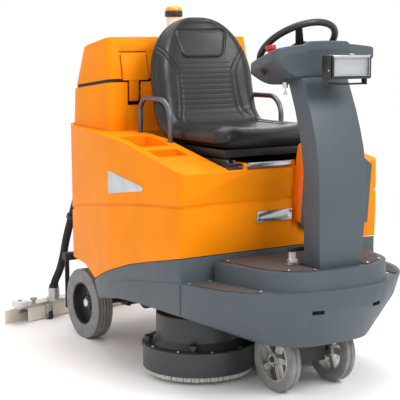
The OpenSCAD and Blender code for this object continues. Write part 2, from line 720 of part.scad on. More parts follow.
module lamp_housing() {
    color("#1d1e20") both_sides() y_cyl(lamp_pin_x, lamp_pin_z, 4, 80, 88);
    color("#1d1e20") translate([lamp_pin_x + 12, 0, lamp_pin_z]) difference() {
        front_prism([[-84, -42], [-84, 36], [-70, 42], [70, 42], [84, 36], [84, -42]], -34, 20);
        front_prism([[-76, -35], [-76, 34], [76, 34], [76, -35]], -22, 21);
    }
}
module lamp_lens() {
    color("#e9ecef") box_at(lamp_pin_x + 22, lamp_pin_x + 28, -76, 76, lamp_pin_z - 34.5, lamp_pin_z + 33.5);
}

module drive_axle() {
    color("#3c3f44") {
        y_cyl(rear_axle_x, rear_axle_z, 17.5, -327, 327);
        y_cyl(rear_axle_x, rear_axle_z, 62, -60, 60);
        y_cyl(rear_axle_x, rear_axle_z, 34, -149, 149);
        translate([rear_axle_x + 40, 0, rear_axle_z + 20]) rotate([0, 90, 0]) cylinder(r = 56, h = 190);
    }
}
module battery_pack() {
    z0 = rail_z + rail_size + 6;
    color("#26282b") for (x = [bay_rear_x + 10, bay_rear_x + 220], y = [-208, 4])
        translate([x, y, z0 + body_gap / 10]) cube([200, 204, 250]);
    color("#55585d") box_at(bay_rear_x + 442, bay_rear_x + 600, -150, 150, z0, z0 + 190);
}
module vacuum_motor() {
    color("#44474c") translate([-360, 0, 352]) {
        translate([0, 0, -9.7]) cylinder(r = 74, h = 110);
        translate([0, 0, 100]) cylinder(r = 88, h = 40);
        translate([0, 0, 140 - eps]) cylinder(r = 30, h = 70);
    }
}
module rear_brackets() {
    color("#202226") both_sides() {
        box_at(-602, -566, 256, 366, 312, 344);
        box_at(-584, -576, 344, 364, 100, 312 + eps);
        box_at(-600, -560, 178, 262, rail_z + 12, rail_z + 30);
    }
    clip = [-674.8, -279.2, 488];
    lean = unit(hose_route[7] - hose_route[6]);
    color("#202226") difference() {
        union() {
            translate(clip) rotate([0, acos(lean.z), atan2(lean.y, lean.x)])
                translate([0, 0, -9]) cylinder(r = hose_d / 2 + 6, h = 18);
            box_at(clip.x + 10, -592.3, -284, -276, 482, 498);
        }
        translate(clip) rotate([0, acos(lean.z), atan2(lean.y, lean.x)])
            translate([0, 0, -30]) cylinder(r = hose_d / 2 + 0.8, h = 60);
    }
}

module seat_plate() {
    color("#1d1f22") difference() {
        box_at(bay_rear_x + 4, bay_front_x + bay_ledge - 3, -pod_inner_y + 4, pod_inner_y - 4, seat_plate_z - 9.7, seat_plate_z);
        box_at(497, 560, -177, 23, 790, 830);
    }
    color("#c9ccd0") {
        box_at(498, 549, -176, 22, seat_plate_z - 9.7, seat_plate_z - 2);
        box_at(540, tilt_pin_x, -172, 20, seat_plate_z - 3, seat_plate_z + 4);
        difference() {
            y_cyl(tilt_pin_x, tilt_pin_z, 10, -172, 20);
            y_cyl(tilt_pin_x, tilt_pin_z, tilt_pin_r, -200, 60);
        }
        y_cyl(tilt_pin_x, tilt_pin_z, tilt_pin_r, -191, 37);
    }
    color("#8d9196") translate([430, -136, seat_plate_z - eps]) cylinder(r = 4 - run_clear, h = 14);
}
module seat_rails() {
    color("#a9adb2") both_sides() {
        box_at(40, 440, 150, 182, seat_plate_z, seat_plate_z + 5);
        box_at(40, 440, 150, 154, seat_plate_z, seat_plate_z + 18);
        box_at(40, 440, 178, 182, seat_plate_z, seat_plate_z + 18);
    }
}
module seat_pan() {
    color("#141517") {
        both_sides() box_at(60, 420, 156, 176, seat_plate_z + 5.3, seat_plate_z + 30);
        box_at(20, 455, -205, 205, seat_plate_z + 30 - eps, seat_under_z - 0.4);
        both_sides() side_prism_at([[30, 842], [-30, 842], [-40, 960], [-24.6, 960], [-19.4, 935], [-18, 867], [30, 867]],
            120, 150);
    }
}
module seat_cushion() {
    color("#2c2d31") hull() {
        translate([250, 0, seat_under_z]) rounded_slab(seat_front_x - 252, seat_half_w, 60, 20);
        translate([250, 0, seat_under_z + 56]) rounded_slab(seat_front_x - 268, seat_half_w - 14, 60, 20);
    }
}
// A slab of half length a and half width b, with corner radius r and height h.
module rounded_slab(a, b, r, h) {
    linear_extrude(h) hull() for (x = [-a + r, a - r], y = [-b + r, b - r]) translate([x, y]) circle(r = r, $fn = 32);
}
module seat_back() {
    lean = 12;
    color("#2c2d31") translate([60, 0, 940]) rotate([0, -lean, 0]) hull() {
        translate([-78, 0, 10]) back_bar(220, 76);
        translate([-74, 0, 160]) back_bar(236, 76);
        translate([-64, 0, 320]) back_bar(190, 62);
        translate([-50, 0, (seat_top_z - 960) / cos(lean)]) back_bar(110, 44);
    }
}
module back_bar(half_w, depth) {
    hull() both_sides() translate([0, half_w - 22, 0]) translate([0, -22, 0]) cube([depth, 44, 10]);
}
module seat_lever() {
    color("#e0581c") difference() {
        union() {
            box_at(430, 522, -140, -132, seat_plate_z + 4, seat_plate_z + 10);
            translate([430, -136, seat_plate_z + 0.3]) cylinder(r = 10, h = 10);
        }
        translate([430, -136, seat_plate_z - 5]) cylinder(r = 4, h = 30);
    }
}

// Children placed in the frame of the steering wheel, with +Z along its shaft.
module at_wheel() {
    translate([steer_x, 0, steer_z]) rotate([0, -steer_tilt, 0]) children();
}
module steering_shaft() {
    color("#8b8e93") at_wheel() translate([0, 0, -150]) cylinder(r = steer_shaft_r, h = 140);
}
module steering_wheel() {
    color("#1b1c1e") at_wheel() {
        rotate_extrude() translate([steer_r - steer_rim_r, 0]) circle(r = steer_rim_r, $fn = 32);
        difference() {
            union() {
                translate([0, 0, -34]) cylinder(r = 38, h = 30);
                for (a = [90, 210, 330]) rotate([0, 0, a]) hull() {
                    translate([30, -14, -24]) cube([10, 28, 12]);
                    translate([steer_r - steer_rim_r - 4, -11, -5]) cube([6, 22, 9]);
                }
            }
            translate([0, 0, -36]) cylinder(r = steer_shaft_r, h = 26);
        }
    }
}
module drive_pedal() {
    color("#c9cbc6") difference() {
        union() {
            translate([pedal_x, -116, pedal_z]) {
                box_at(-6, 6, -11, 11, 0, 40);
                box_at(-9, 9, -14, 96, 34, 48);
            }
            y_cyl(pedal_x, pedal_z, 8, -132, -100);
        }
        y_cyl(pedal_x, pedal_z, 4 + run_clear, -140, -90);
    }
}
module pedal_bracket() {
    color("#55585c") {
        for (y = [-137, -99.5]) box_at(pedal_x - 9, pedal_x + 9, y, y + 4.5, platform_z + 4, pedal_z + 8);
        box_at(pedal_x - 16, pedal_x + 16, -140, -92, platform_z + 4, platform_z + 5.5);
        y_cyl(pedal_x, pedal_z, 4, -136, -96);
    }
}

module steering_fork() {
    color("#33363b") difference() {
        union() {
            translate([front_axle_x, 0, rail_z - 13]) cylinder(r = 70, h = 13 - 0.3);
            translate([front_axle_x, 0, rail_z - 1]) cylinder(r = kingpin_r, h = 72);
            box_at(front_axle_x - 34, front_axle_x + 34, -70, 70, front_axle_z - 26, rail_z - 13 + eps);
        }
        y_cyl(front_axle_x, front_axle_z, front_axle_r, -80, 80);
    }
    color("#b7babd") y_cyl(front_axle_x, front_axle_z, front_axle_r, -152, 152);
}
module front_tyre(side) {
    y = side * front_wheel_y - front_wheel_w / 2;
    color("#77797b") difference() {
        y_cyl(front_axle_x, front_axle_z, front_wheel_r, y, y + front_wheel_w);
        y_cyl(front_axle_x, front_axle_z, hub_r, y - 1, y + front_wheel_w + 1);
        difference() {
            y_cyl(front_axle_x, front_axle_z, front_wheel_r + 1, y + front_wheel_w / 2 - 2, y + front_wheel_w / 2 + 2);
            y_cyl(front_axle_x, front_axle_z, front_wheel_r - 4, y, y + front_wheel_w);
        }
    }
}
module front_hub(side) {
    y = side * front_wheel_y - front_wheel_w / 2;
    color("#b3b0ab") difference() {
        union() {
            difference() {
                y_cyl(front_axle_x, front_axle_z, hub_r, y + 1, y + front_wheel_w - 1);
                y_cyl(front_axle_x, front_axle_z, hub_r - 7, y - 1, y + front_wheel_w + 1);
            }
            y_cyl(front_axle_x, front_axle_z, 26, y, y + front_wheel_w);
            for (a = [0:72:359]) translate([front_axle_x, 0, front_axle_z]) rotate([0, a, 0])
                box_at(20, hub_r - 4, y + 9, y + front_wheel_w - 9, -10, 10);
        }
        y_cyl(front_axle_x, front_axle_z, front_axle_r + run_clear, y - 1, y + front_wheel_w + 1);
    }
}
module rear_tyre(side) {
    y = side * rear_wheel_y - rear_wheel_w / 2;
    color("#6c6e70") difference() {
        y_cyl(rear_axle_x, rear_axle_z, rear_wheel_r, y, y + rear_wheel_w);
        y_cyl(rear_axle_x, rear_axle_z, rim_r, y - 1, y + rear_wheel_w + 1);
        for (g = [14, 28, 42, 56]) difference() {
            y_cyl(rear_axle_x, rear_axle_z, rear_wheel_r + 1, y + g - 2, y + g + 2);
            y_cyl(rear_axle_x, rear_axle_z, rear_wheel_r - 5, y, y + rear_wheel_w);
        }
    }
}
module rear_rim(side) {
    y = side * rear_wheel_y - rear_wheel_w / 2;
    web = side > 0 ? y + 26 : y + rear_wheel_w - 34;
    out = side > 0 ? web + 8 : web - 10;
    color("#1b1c1e") difference() {
        union() {
            difference() {
                y_cyl(rear_axle_x, rear_axle_z, rim_r, y + 1, y + rear_wheel_w - 1);
                y_cyl(rear_axle_x, rear_axle_z, rim_r - 6, y - 1, y + rear_wheel_w + 1);
            }
            y_cyl(rear_axle_x, rear_axle_z, rim_r - 3, web, web + 8);
            y_cyl(rear_axle_x, rear_axle_z, 30, min(web, out), max(web + 8, out + 10));
        }
        y_cyl(rear_axle_x, rear_axle_z, 17.5 + run_clear, side > 0 ? y - 1 : web - 5, side > 0 ? web + 4 : y + rear_wheel_w + 1);
    }
    color("#c2c4c7") for (a = [0:72:359]) translate([rear_axle_x, 0, rear_axle_z]) rotate([0, a, 0])
        y_cyl(48, 0, 7, side > 0 ? web + 8 : web - 6, side > 0 ? web + 14 : web);
}

module deck_arms() {
    dx = arm_deck_x - arm_pivot_x;
    dz = arm_deck_z - arm_pivot_z;
    color("#4a3a34") difference() {
        union() {
            both_sides() hull() {
                y_cyl(arm_pivot_x, arm_pivot_z, 13, arm_y_deck, arm_y_deck + 12);
                y_cyl(arm_deck_x, arm_deck_z, 13, arm_y_deck, arm_y_deck + 12);
            }
            y_cyl(arm_pivot_x + dx * 0.35, arm_pivot_z + dz * 0.35, 8, -arm_y_deck - 2, arm_y_deck + 2);
        }
        y_cyl(arm_deck_x, arm_deck_z, arm_pin_r + run_clear, -90, 90);
        y_cyl(arm_pivot_x, arm_pivot_z, arm_pin_r, -90, 90);
    }
    color("#9a9ca0") both_sides() y_cyl(arm_pivot_x, arm_pivot_z, arm_pin_r, arm_y_deck - 4, arm_y_deck + 26);
}
module brush_deck() {
    plate_z = skirt_top_z - 6;
    color("#3f4244") difference() {
        union() {
            both_sides() translate([brush_x, brush_y, skirt_bottom_z]) cylinder(r = skirt_r, h = skirt_top_z - skirt_bottom_z);
            both_sides() translate([brush_x, brush_y, skirt_top_z - eps]) cylinder(r1 = turret_r + 22, r2 = turret_r, h = 24);
            both_sides() translate([brush_x, brush_y, skirt_top_z]) cylinder(r = turret_r, h = turret_top_z - skirt_top_z);
            box_at(brush_x - 120, brush_x + 120, -60, 60, plate_z, skirt_top_z + 60);
            both_sides() hull() {
                y_cyl(arm_deck_x, arm_deck_z, 14, arm_y_deck - 14, arm_y_deck - 2);
                box_at(arm_deck_x - 10, arm_deck_x + 60, arm_y_deck - 14, arm_y_deck - 2, plate_z + 20, plate_z + 40);
            }
            box_at(arm_deck_x - 8, brush_x - 80, -60, 60, plate_z + 20, plate_z + 40);
        }
        both_sides() translate([brush_x, brush_y, skirt_bottom_z - 1]) cylinder(r = skirt_inner_r, h = plate_z - skirt_bottom_z + 1);
        both_sides() translate([brush_x, brush_y, plate_z]) cylinder(r = 88, h = turret_top_z - plate_z - 6);
        both_sides() translate([brush_x, brush_y, 60]) rotate([0, 0, 130]) translate([skirt_r, 0, 30]) cube([30, 60, 24], center = true);
    }
    color("#9a9ca0") both_sides() y_cyl(arm_deck_x, arm_deck_z, arm_pin_r, arm_y_deck - 16, arm_y_deck + 14);
}
module brush_motors() {
    color("#2a2c30") both_sides() translate([brush_x, brush_y, 0]) {
        translate([0, 0, skirt_top_z - 4]) cylinder(r = 84, h = turret_top_z - skirt_top_z - 2.2);
        translate([0, 0, bristle_bottom_z + 46]) cylinder(r = brush_shaft_r, h = 70);
    }
}
module brush(side) {
    translate([brush_x, side * brush_y, 0]) {
        color("#d9d6cf") difference() {
            translate([0, 0, bristle_bottom_z]) cylinder(r = brush_r, h = 44);
            translate([0, 0, bristle_bottom_z - 1]) cylinder(r = 70, h = 60);
        }
        color("#3b6aa0") difference() {
            translate([0, 0, bristle_bottom_z + 44]) cylinder(r = brush_r - 2, h = 24);
            translate([0, 0, bristle_bottom_z + 40]) cylinder(r = brush_shaft_r + run_clear, h = 60);
        }
    }
}

module squeegee_arc(r0, r1, z0, h, a) {
    translate([squeegee_rear_x + squeegee_r, 0, z0]) rotate([0, 0, 180 - a])
        rotate_extrude(angle = 2 * a, $fn = 180) translate([r0, 0]) square([r1 - r0, h]);
}
module squeegee_arm() {
    color("#2f3236") {
        both_sides() hull() {
            y_cyl(squeegee_pivot_x, squeegee_pivot_z, 16, 46, 58);
            box_at(squeegee_rear_x + 62, squeegee_rear_x + 100, 46, 58, 98, 122);
        }
        box_at(squeegee_rear_x + 62, squeegee_rear_x + 106, -58, 58, 98, 106);
    }
    color("#9a9ca0") both_sides() y_cyl(squeegee_pivot_x, squeegee_pivot_z, 8, 44, 74);
}
// Children placed on the squeegee's arc, at angle a and distance r from its centre.
module on_arc(a, r) {
    translate([squeegee_rear_x + squeegee_r, 0, 0]) rotate([0, 0, 180 - a]) translate([r, 0, 0]) children();
}
module squeegee_holder() {
    r1 = squeegee_r - 6;
    a = holder_half_deg;
    color("#b9bab8") {
        squeegee_arc(r1 - 66, r1, 66, 14, a);
        squeegee_arc(r1 - 58, r1 - 50, 28, 39, a - 1);
        squeegee_arc(r1 - 10, r1 - 0.5, 36, 31, a - 0.5);
        box_at(squeegee_rear_x + 24, squeegee_rear_x + 106, -52, 52, 79, 97.9);
        both_sides() on_arc(roller_deg, roller_r) {
            translate([0, 0, 70]) cylinder(r = 24, h = 11.7);
            translate([0, 0, 70]) cylinder(r = 8, h = 40);
        }
    }
    color("#3a3c40") both_sides() difference() {
        union() {
            box_at(caster_x - 34, caster_x + 10, caster_y - 17, caster_y + 17, 66, 70);
            box_at(caster_x - 9, caster_x + 9, caster_y - 16, caster_y - 11, 12, 67);
            box_at(caster_x - 9, caster_x + 9, caster_y + 11, caster_y + 16, 12, 67);
        }
        y_cyl(caster_x, caster_z, 5 + run_clear, caster_y - 30, caster_y + 30);
    }
    color("#1b1c1e") translate([hose_route[0].x, hose_route[0].y, 79]) difference() {
        union() {
            cylinder(r = 36, h = 12);
            cylinder(r = 26, h = 58);
        }
        translate([0, 0, 30]) cylinder(r = hose_d / 2 + 0.4, h = 60);
    }
    color("#1b1c1e") for (k = [-17.6, -8, 8, 17.6]) on_arc(k, squeegee_r - 40) {
        translate([0, 0, 79]) cylinder(r = 8, h = 18);
        translate([0, 0, 92]) cylinder(r = 13, h = 12);
        for (t = [0:72:359]) rotate([0, 0, t]) translate([11, 0, 93]) cylinder(r = 6, h = 10, $fn = 24);
    }
}
module squeegee_blades() {
    color("#d9d8d2") {
        squeegee_arc(squeegee_r - 5.9, squeegee_r, 0, blade_h, blade_half_deg);
        squeegee_arc(squeegee_r - 68.2, squeegee_r - 64.2, 3, 62.7, blade_half_deg - 3.6);
    }
}
module squeegee_casters() {
    color("#3a3c40") both_sides() y_cyl(caster_x, caster_z, 17.5, caster_y - 10, caster_y + 10);
    color("#9a9ca0") both_sides() y_cyl(caster_x, caster_z, 5, caster_y - 17, caster_y + 17);
}
module end_roller(side) {
    color("#c5c6c4") on_arc(side * roller_deg, roller_r) difference() {
        translate([0, 0, 82]) cylinder(r = 38, h = 22);
        translate([0, 0, 80]) cylinder(r = 8 + run_clear, h = 40);
    }
}
function unit(v) = v / norm(v);
function route_dir(p, i) = unit(p[min(i + 1, len(p) - 1)] - p[max(i - 1, 0)]);
// A round tube of radius r along the points of p, with n sides.
module swept_tube(p, r, n) {
    side_dir = [0, 1, 0];
    rings = [for (i = [0:len(p) - 1]) let (d = route_dir(p, i), u = unit(cross(d, side_dir)), w = cross(d, u))
        for (k = [0:n - 1]) let (a = 360 * k / n) p[i] + r * (cos(a) * u + sin(a) * w)];
    last = (len(p) - 1) * n;
    walls = [for (i = [0:len(p) - 2], k = [0:n - 1]) let (j = (k + 1) % n)
        [i * n + k, i * n + j, (i + 1) * n + j, (i + 1) * n + k]];
    polyhedron(rings, concat([[for (k = [n - 1:-1:0]) k]], walls, [[for (k = [0:n - 1]) last + k]]), convexity = 6);
}
module suction_hose() {
    color("#232427") swept_tube(hose_route, hose_d / 2, 12);
}

chassis_frame();
chassis_cover();
platform_mat();
step_mats();
deck_screws();
solution_tank();
solution_cap();
front_catch();
service_panel();
service_handle();
recovery_tank();
tank_seal();
arm_rails();
column_cover();
console();
console_display();
ignition_key();
estop_button();
lamp_bracket();
drive_axle();
battery_pack();
vacuum_motor();
rear_brackets();
tank_lid();
beacon_base();
beacon_dome();
lid_latch();
seat_plate();
seat_rails();
seat_pan();
seat_cushion();
seat_back();
seat_lever();
steering_shaft();
steering_wheel();
lamp_housing();
lamp_lens();
drive_pedal();
pedal_bracket();
steering_fork();
front_tyre(-1);  // front_tyre_right
front_tyre(1);  // front_tyre_left
front_hub(-1);  // front_hub_right
front_hub(1);  // front_hub_left
rear_tyre(-1);  // rear_tyre_right
rear_tyre(1);  // rear_tyre_left
rear_rim(-1);  // rear_rim_right
rear_rim(1);  // rear_rim_left
deck_arms();
brush_deck();
brush_motors();
brush(-1);  // brush_right
brush(1);  // brush_left
squeegee_arm();
squeegee_holder();
squeegee_blades();
squeegee_casters();
end_roller(-1);  // end_roller_right
end_roller(1);  // end_roller_left
suction_hose();
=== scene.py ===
"""Ride-on floor scrubber: looks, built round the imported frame. Metres, +X forwards, +Y left, +Z up."""

import json
import math

import bmesh
import bpy
import numpy as np
from mathutils import Matrix, Vector


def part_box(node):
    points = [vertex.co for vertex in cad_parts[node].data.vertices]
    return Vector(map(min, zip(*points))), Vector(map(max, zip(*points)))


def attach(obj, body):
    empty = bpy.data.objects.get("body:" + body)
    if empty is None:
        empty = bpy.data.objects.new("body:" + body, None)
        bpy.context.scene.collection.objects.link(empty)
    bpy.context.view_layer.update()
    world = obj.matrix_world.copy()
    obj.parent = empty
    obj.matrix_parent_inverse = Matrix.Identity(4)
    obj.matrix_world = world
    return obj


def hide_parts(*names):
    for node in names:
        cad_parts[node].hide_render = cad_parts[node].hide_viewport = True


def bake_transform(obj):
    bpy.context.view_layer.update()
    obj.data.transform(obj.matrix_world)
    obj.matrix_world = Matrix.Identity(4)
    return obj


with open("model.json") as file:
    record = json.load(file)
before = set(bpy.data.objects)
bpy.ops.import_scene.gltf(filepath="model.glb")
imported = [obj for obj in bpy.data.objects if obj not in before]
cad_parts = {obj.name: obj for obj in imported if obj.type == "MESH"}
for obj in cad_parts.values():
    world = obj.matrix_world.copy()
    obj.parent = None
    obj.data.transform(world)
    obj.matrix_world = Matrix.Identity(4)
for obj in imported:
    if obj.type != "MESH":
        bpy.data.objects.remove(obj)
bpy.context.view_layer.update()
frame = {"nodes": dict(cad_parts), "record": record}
scene = bpy.context.scene
BODY_OF = {node: body for body, nodes in frame["record"]["behaviour"]["bodies"].items() for node in nodes}
SLOT_OF = {row["node"]: row["material_slot"] for row in frame["record"]["subparts"]}


# ---------------------------------------------------------------- camera
def aim_camera(place, yaw, pitch_down, roll, lens):
    """A camera at place, looking yaw degrees round from +X and pitch_down below the horizon."""
    yaw, pitch, roll = (math.radians(a) for a in (yaw, pitch_down, roll))
    ahead = Vector((math.cos(yaw) * math.cos(pitch), math.sin(yaw) * math.cos(pitch), -math.sin(pitch)))
    right = Vector((math.sin(yaw), -math.cos(yaw), 0))
    up = right.cross(ahead)
    right_rolled = math.cos(roll) * right + math.sin(roll) * up
    up_rolled = -math.sin(roll) * right + math.cos(roll) * up
    data = bpy.data.cameras.new("camera")
    data.lens = lens
    data.sensor_width = 36
    data.clip_end = 60
    camera = bpy.data.objects.new("camera", data)
    scene.collection.objects.link(camera)
    turn = Matrix((right_rolled, up_rolled, -ahead)).transposed().to_4x4()
    camera.matrix_world = Matrix.Translation(place) @ turn
    scene.camera = camera
    return camera


aim_camera((4.0042, -2.5740, 1.2695), 147.513, 7.808, -0.35, 104.78)


# ---------------------------------------------------------------- materials
class Shader:
    """A Principled material and short calls for the nodes that feed it."""

    def __init__(self, name, **sockets):
        self.material = bpy.data.materials.new(name)
        self.material.use_nodes = True
        self.tree = self.material.node_tree
        self.bsdf = self.tree.nodes["Principled BSDF"]
        for socket, value in sockets.items():
            self.set(socket.replace("_", " "), value)

    def set(self, socket, value):
        if isinstance(value, (tuple, list)) and len(value) == 3:
            value = (*value, 1)
        self.bsdf.inputs[socket].default_value = value

    def node(self, kind, links=None, **values):
        node = self.tree.nodes.new("ShaderNode" + kind)
        for key, value in values.items():
            if key in node.inputs:
                node.inputs[key].default_value = value
            else:
                setattr(node, key, value)
        for socket, source in (links or {}).items():
            self.tree.links.new(source, node.inputs[socket])
        return node

    def link(self, source, socket):
        self.tree.links.new(source, self.bsdf.inputs[socket])

    def place(self, stretch=(1, 1, 1)):
        """Object-space coordinates, stretched."""
        coords = self.node("TexCoord").outputs["Object"]
        mapping = self.node("Mapping", {"Vector": coords})
        mapping.inputs["Scale"].default_value = stretch
        return mapping.outputs["Vector"]

    def noise(self, scale, detail=3, stretch=(1, 1, 1), roughness=0.5):
        node = self.node("TexNoise", {"Vector": self.place(stretch)}, Scale=scale, Detail=detail)
        node.inputs["Roughness"].default_value = roughness
        return node.outputs["Fac"]

    def remap(self, source, low, high, start=0.3, end=0.7):
        node = self.node("MapRange", {"Value": source})
        for key, value in zip(("From Min", "From Max", "To Min", "To Max"), (start, end, low, high)):
            node.inputs[key].default_value = value
        return node.outputs["Result"]

    def math(self, kind, a, b):
        node = self.node("Math", operation=kind)
        for i, v in enumerate((a, b)):
            if isinstance(v, (int, float)):
                node.inputs[i].default_value = v
            else:
                self.tree.links.new(v, node.inputs[i])
        return node.outputs[0]

    def blend_colours(self, factor, a, b):
        node = self.node("Mix", data_type="RGBA")
        self.tree.links.new(factor, node.inputs["Factor"])
        for socket, colour in ((node.inputs[6], a), (node.inputs[7], b)):
            if isinstance(colour, (tuple, list)):
                socket.default_value = (*colour, 1)
            else:
                self.tree.links.new(colour, socket)
        return node.outputs[2]

    def bump(self, height, strength, distance, under=None):
        node = self.node("Bump", {"Height": height}, Strength=strength, Distance=distance)
        if under is not None:
            self.tree.links.new(under, node.inputs["Normal"])
        self.link(node.outputs["Normal"], "Normal")
        return node.outputs["Normal"]


def shade(colour, k):
    return tuple(min(1, c * k) for c in colour)


def srgb(r, g, b):
    """Linear colour of an 8-bit one."""
    return tuple(c / 12.92 if c <= 0.04045 else ((c + 0.055) / 1.055) ** 2.4 for c in (r / 255, g / 255, b / 255))


def moulded(name, colour, rough, grain=(900, 0.05), mottle=0.06, coat=0.0, worn=0.0, shine=0.5):
    """Moulded plastic: faint mottling, uneven gloss and a fine grain; worn lightens its edges and scuffs."""
    s = Shader(name, Roughness=rough)
    s.set("Coat Weight", coat)
    s.set("Coat Roughness", 0.12)
    s.set("Specular IOR Level", shine)
    patches = s.remap(s.noise(6, 4), 0, 1)
    base = s.blend_colours(patches, shade(colour, 1 - mottle), shade(colour, 1 + mottle))
    if worn:
        edges = s.remap(s.node("NewGeometry").outputs["Pointiness"], 0, 1, 0.52, 0.6)
        scuffs = s.math("MULTIPLY", edges, s.remap(s.noise(70, 5), 0, worn, 0.45, 0.65))
        base = s.blend_colours(scuffs, base, shade(colour, 1.5))
    s.link(base, "Base Color")
    s.link(s.remap(s.noise(24, 4), rough - 0.05, rough + 0.07), "Roughness")
    waves = s.bump(s.noise(9, 2), 0.05, 0.004)
    s.bump(s.noise(grain[0], 2), grain[1], 0.0004, waves)
    return s.material


def metal(name, colour, rough, stretch=(1, 1, 1), metallic=1.0, scratches=0.06):
    s = Shader(name, Metallic=metallic, Roughness=rough)
    streaks = s.noise(260, 4, stretch)
    s.link(s.blend_colours(s.remap(s.noise(18, 4), 0, 1), shade(colour, 0.9), shade(colour, 1.06)), "Base Color")
    s.link(s.remap(streaks, rough - 0.06, rough + 0.1), "Roughness")
    s.bump(streaks, scratches, 0.0004)
    return s.material


def rubber(name, colour, rough=0.75, grain=600, depth=0.12, dust=0.1):
    s = Shader(name, Roughness=rough)
    s.set("Specular IOR Level", 0.35)
    film = s.remap(s.noise(30, 5), 0, 1, 0.4, 0.75)
    s.link(s.blend_colours(film, colour, shade(colour, 1 + dust * 3)), "Base Color")
    s.link(s.remap(s.noise(60, 3), rough - 0.08, min(1, rough + 0.1)), "Roughness")
    s.bump(s.noise(grain, 3), depth, 0.0005)
    return s.material


def vinyl(name, colour):
    """Grained vinyl: small cells with creases between them, a soft sheen, and lighter rubbed patches."""
    s = Shader(name, Roughness=0.42)
    s.set("Coat Weight", 0.22)
    s.set("Coat Roughness", 0.24)
    s.set("Specular IOR Level", 0.4)
    cells = s.node("TexVoronoi", {"Vector": s.place()}, feature="DISTANCE_TO_EDGE", Scale=420)
    creases = s.remap(cells.outputs["Distance"], 0, 1, 0, 0.12)
    s.link(s.blend_colours(s.remap(s.noise(11, 4), 0, 1), shade(colour, 0.85), shade(colour, 1.15)), "Base Color")
    s.link(s.remap(s.noise(40, 4), 0.36, 0.5), "Roughness")
    soft = s.bump(s.noise(55, 3), 0.06, 0.002)
    s.bump(creases, 0.14, 0.0004, soft)
    return s.material


def studded_mat(name, colour):
    """Anti-slip rubber with small raised diamonds, with painted shade darkening the hollows and a painted highlight
    lightening the raised tops.
    """
    s = Shader(name, Roughness=0.85)
    wave_a = s.node("TexWave", {"Vector": s.place((1, 1, 0))}, bands_direction="DIAGONAL", Scale=40)
    turned = s.node("TexWave", {"Vector": s.place((1, -1, 0))}, bands_direction="DIAGONAL", Scale=40)
    studs = s.math("MULTIPLY", wave_a.outputs["Fac"], turned.outputs["Fac"])
    raised = s.remap(studs, 0, 1, 0.25, 0.6)
    # painted light and shade: the hollows between the diamonds darkened, the raised diamonds lightened
    s.link(s.blend_colours(raised, shade(colour, 0.65), shade(colour, 1.2)), "Base Color")
    s.link(s.remap(s.noise(40, 4), 0.75, 0.95), "Roughness")
    s.bump(raised, 0.5, 0.0012)
    return s.material


def clear_lens(name):
    s = Shader(name, Roughness=0.06, IOR=1.5)
    s.set("Transmission Weight", 0.75)
    s.set("Base Color", (0.95, 0.97, 1.0))
    ribs = s.node("TexWave", {"Vector": s.place((0, 1, 0))}, bands_direction="Y", Scale=60)
    s.bump(ribs.outputs["Fac"], 0.5, 0.002)
    return s.material


ORANGE = srgb(242, 138, 10)
MATERIALS = {
    "orange_plastic": moulded("orange_plastic", ORANGE, 0.4, (700, 0.05), 0.05, 0.0, 0.1, 0.07),
    "grey_plastic": moulded("grey_plastic", srgb(74, 82, 89), 0.42, (800, 0.08), 0.07, 0.0, 0.25, 0.4),
    "dark_plastic": moulded("dark_plastic", (0.016, 0.016, 0.018), 0.4, (900, 0.1), 0.1, 0.0, 0.2),
    "deck_plastic": moulded("deck_plastic", srgb(52, 55, 58), 0.45, (600, 0.12), 0.1, 0.0, 0.3),
    "light_plastic": moulded("light_plastic", srgb(222, 223, 222), 0.45, (600, 0.08), 0.06, 0.0, 0.0),
    "frame_paint": moulded("frame_paint", (0.022, 0.023, 0.026), 0.5, (400, 0.15), 0.12, 0.0, 0.3),
    "rail_paint": metal("rail_paint", srgb(104, 108, 114), 0.34, (1, 1, 1), 0.75, 0.04),
    "bright_steel": metal("bright_steel", (0.62, 0.63, 0.65), 0.28, (1, 6, 1)),
    "alloy": metal("alloy", srgb(196, 193, 188), 0.42, (1, 1, 1), 0.85, 0.1),
    "black_rubber": rubber("black_rubber", (0.018, 0.018, 0.019), 0.6),
    "mat_rubber": studded_mat("mat_rubber", srgb(90, 80, 76)),
    "grey_tyre": rubber("grey_tyre", srgb(122, 122, 120), 0.72, 500, 0.15, 0.12),
    "blade_rubber": rubber("blade_rubber", srgb(232, 227, 215), 0.6, 300, 0.06, 0.02),
    "vinyl": vinyl("vinyl", srgb(17, 18, 20)),
    "amber": moulded("amber", srgb(255, 150, 20), 0.18, (50, 0.02), 0.03, 0.6),
    "red_plastic": moulded("red_plastic", srgb(190, 28, 22), 0.3, (600, 0.04), 0.04, 0.3),
    "orange_red": moulded("orange_red", srgb(255, 112, 0), 0.38, (700, 0.05), 0.05, 0.02, 0.0, 0.2),
    "lens": clear_lens("lens"),
    "bristle": rubber("bristle", srgb(214, 211, 202), 0.8, 900, 0.3, 0.02),
}


def give(obj, slot):
    obj.data.materials.clear()
    obj.data.materials.append(MATERIALS[slot])


for node_name, node_obj in frame["nodes"].items():
    for material_slot in node_obj.material_slots:
        material_slot.material = MATERIALS[SLOT_OF[node_name]]


# ---------------------------------------------------------------- mesh helpers
def add_mesh(name, verts, faces, smooth=True):
    mesh = bpy.data.meshes.new(name)
    mesh.from_pydata([tuple(v) for v in verts], [], [tuple(f) for f in faces])
    mesh.validate()
    if smooth:
        mesh.shade_smooth()
    obj = bpy.data.objects.new(name, mesh)
    scene.collection.objects.link(obj)
    return obj


def applied(obj):
    """obj with its modifiers applied."""
    bpy.context.view_layer.update()
    mesh = bpy.data.meshes.new_from_object(obj.evaluated_get(bpy.context.evaluated_depsgraph_get()))
    obj.modifiers.clear()
    old = obj.data
    obj.data = mesh
    bpy.data.meshes.remove(old)
    return obj


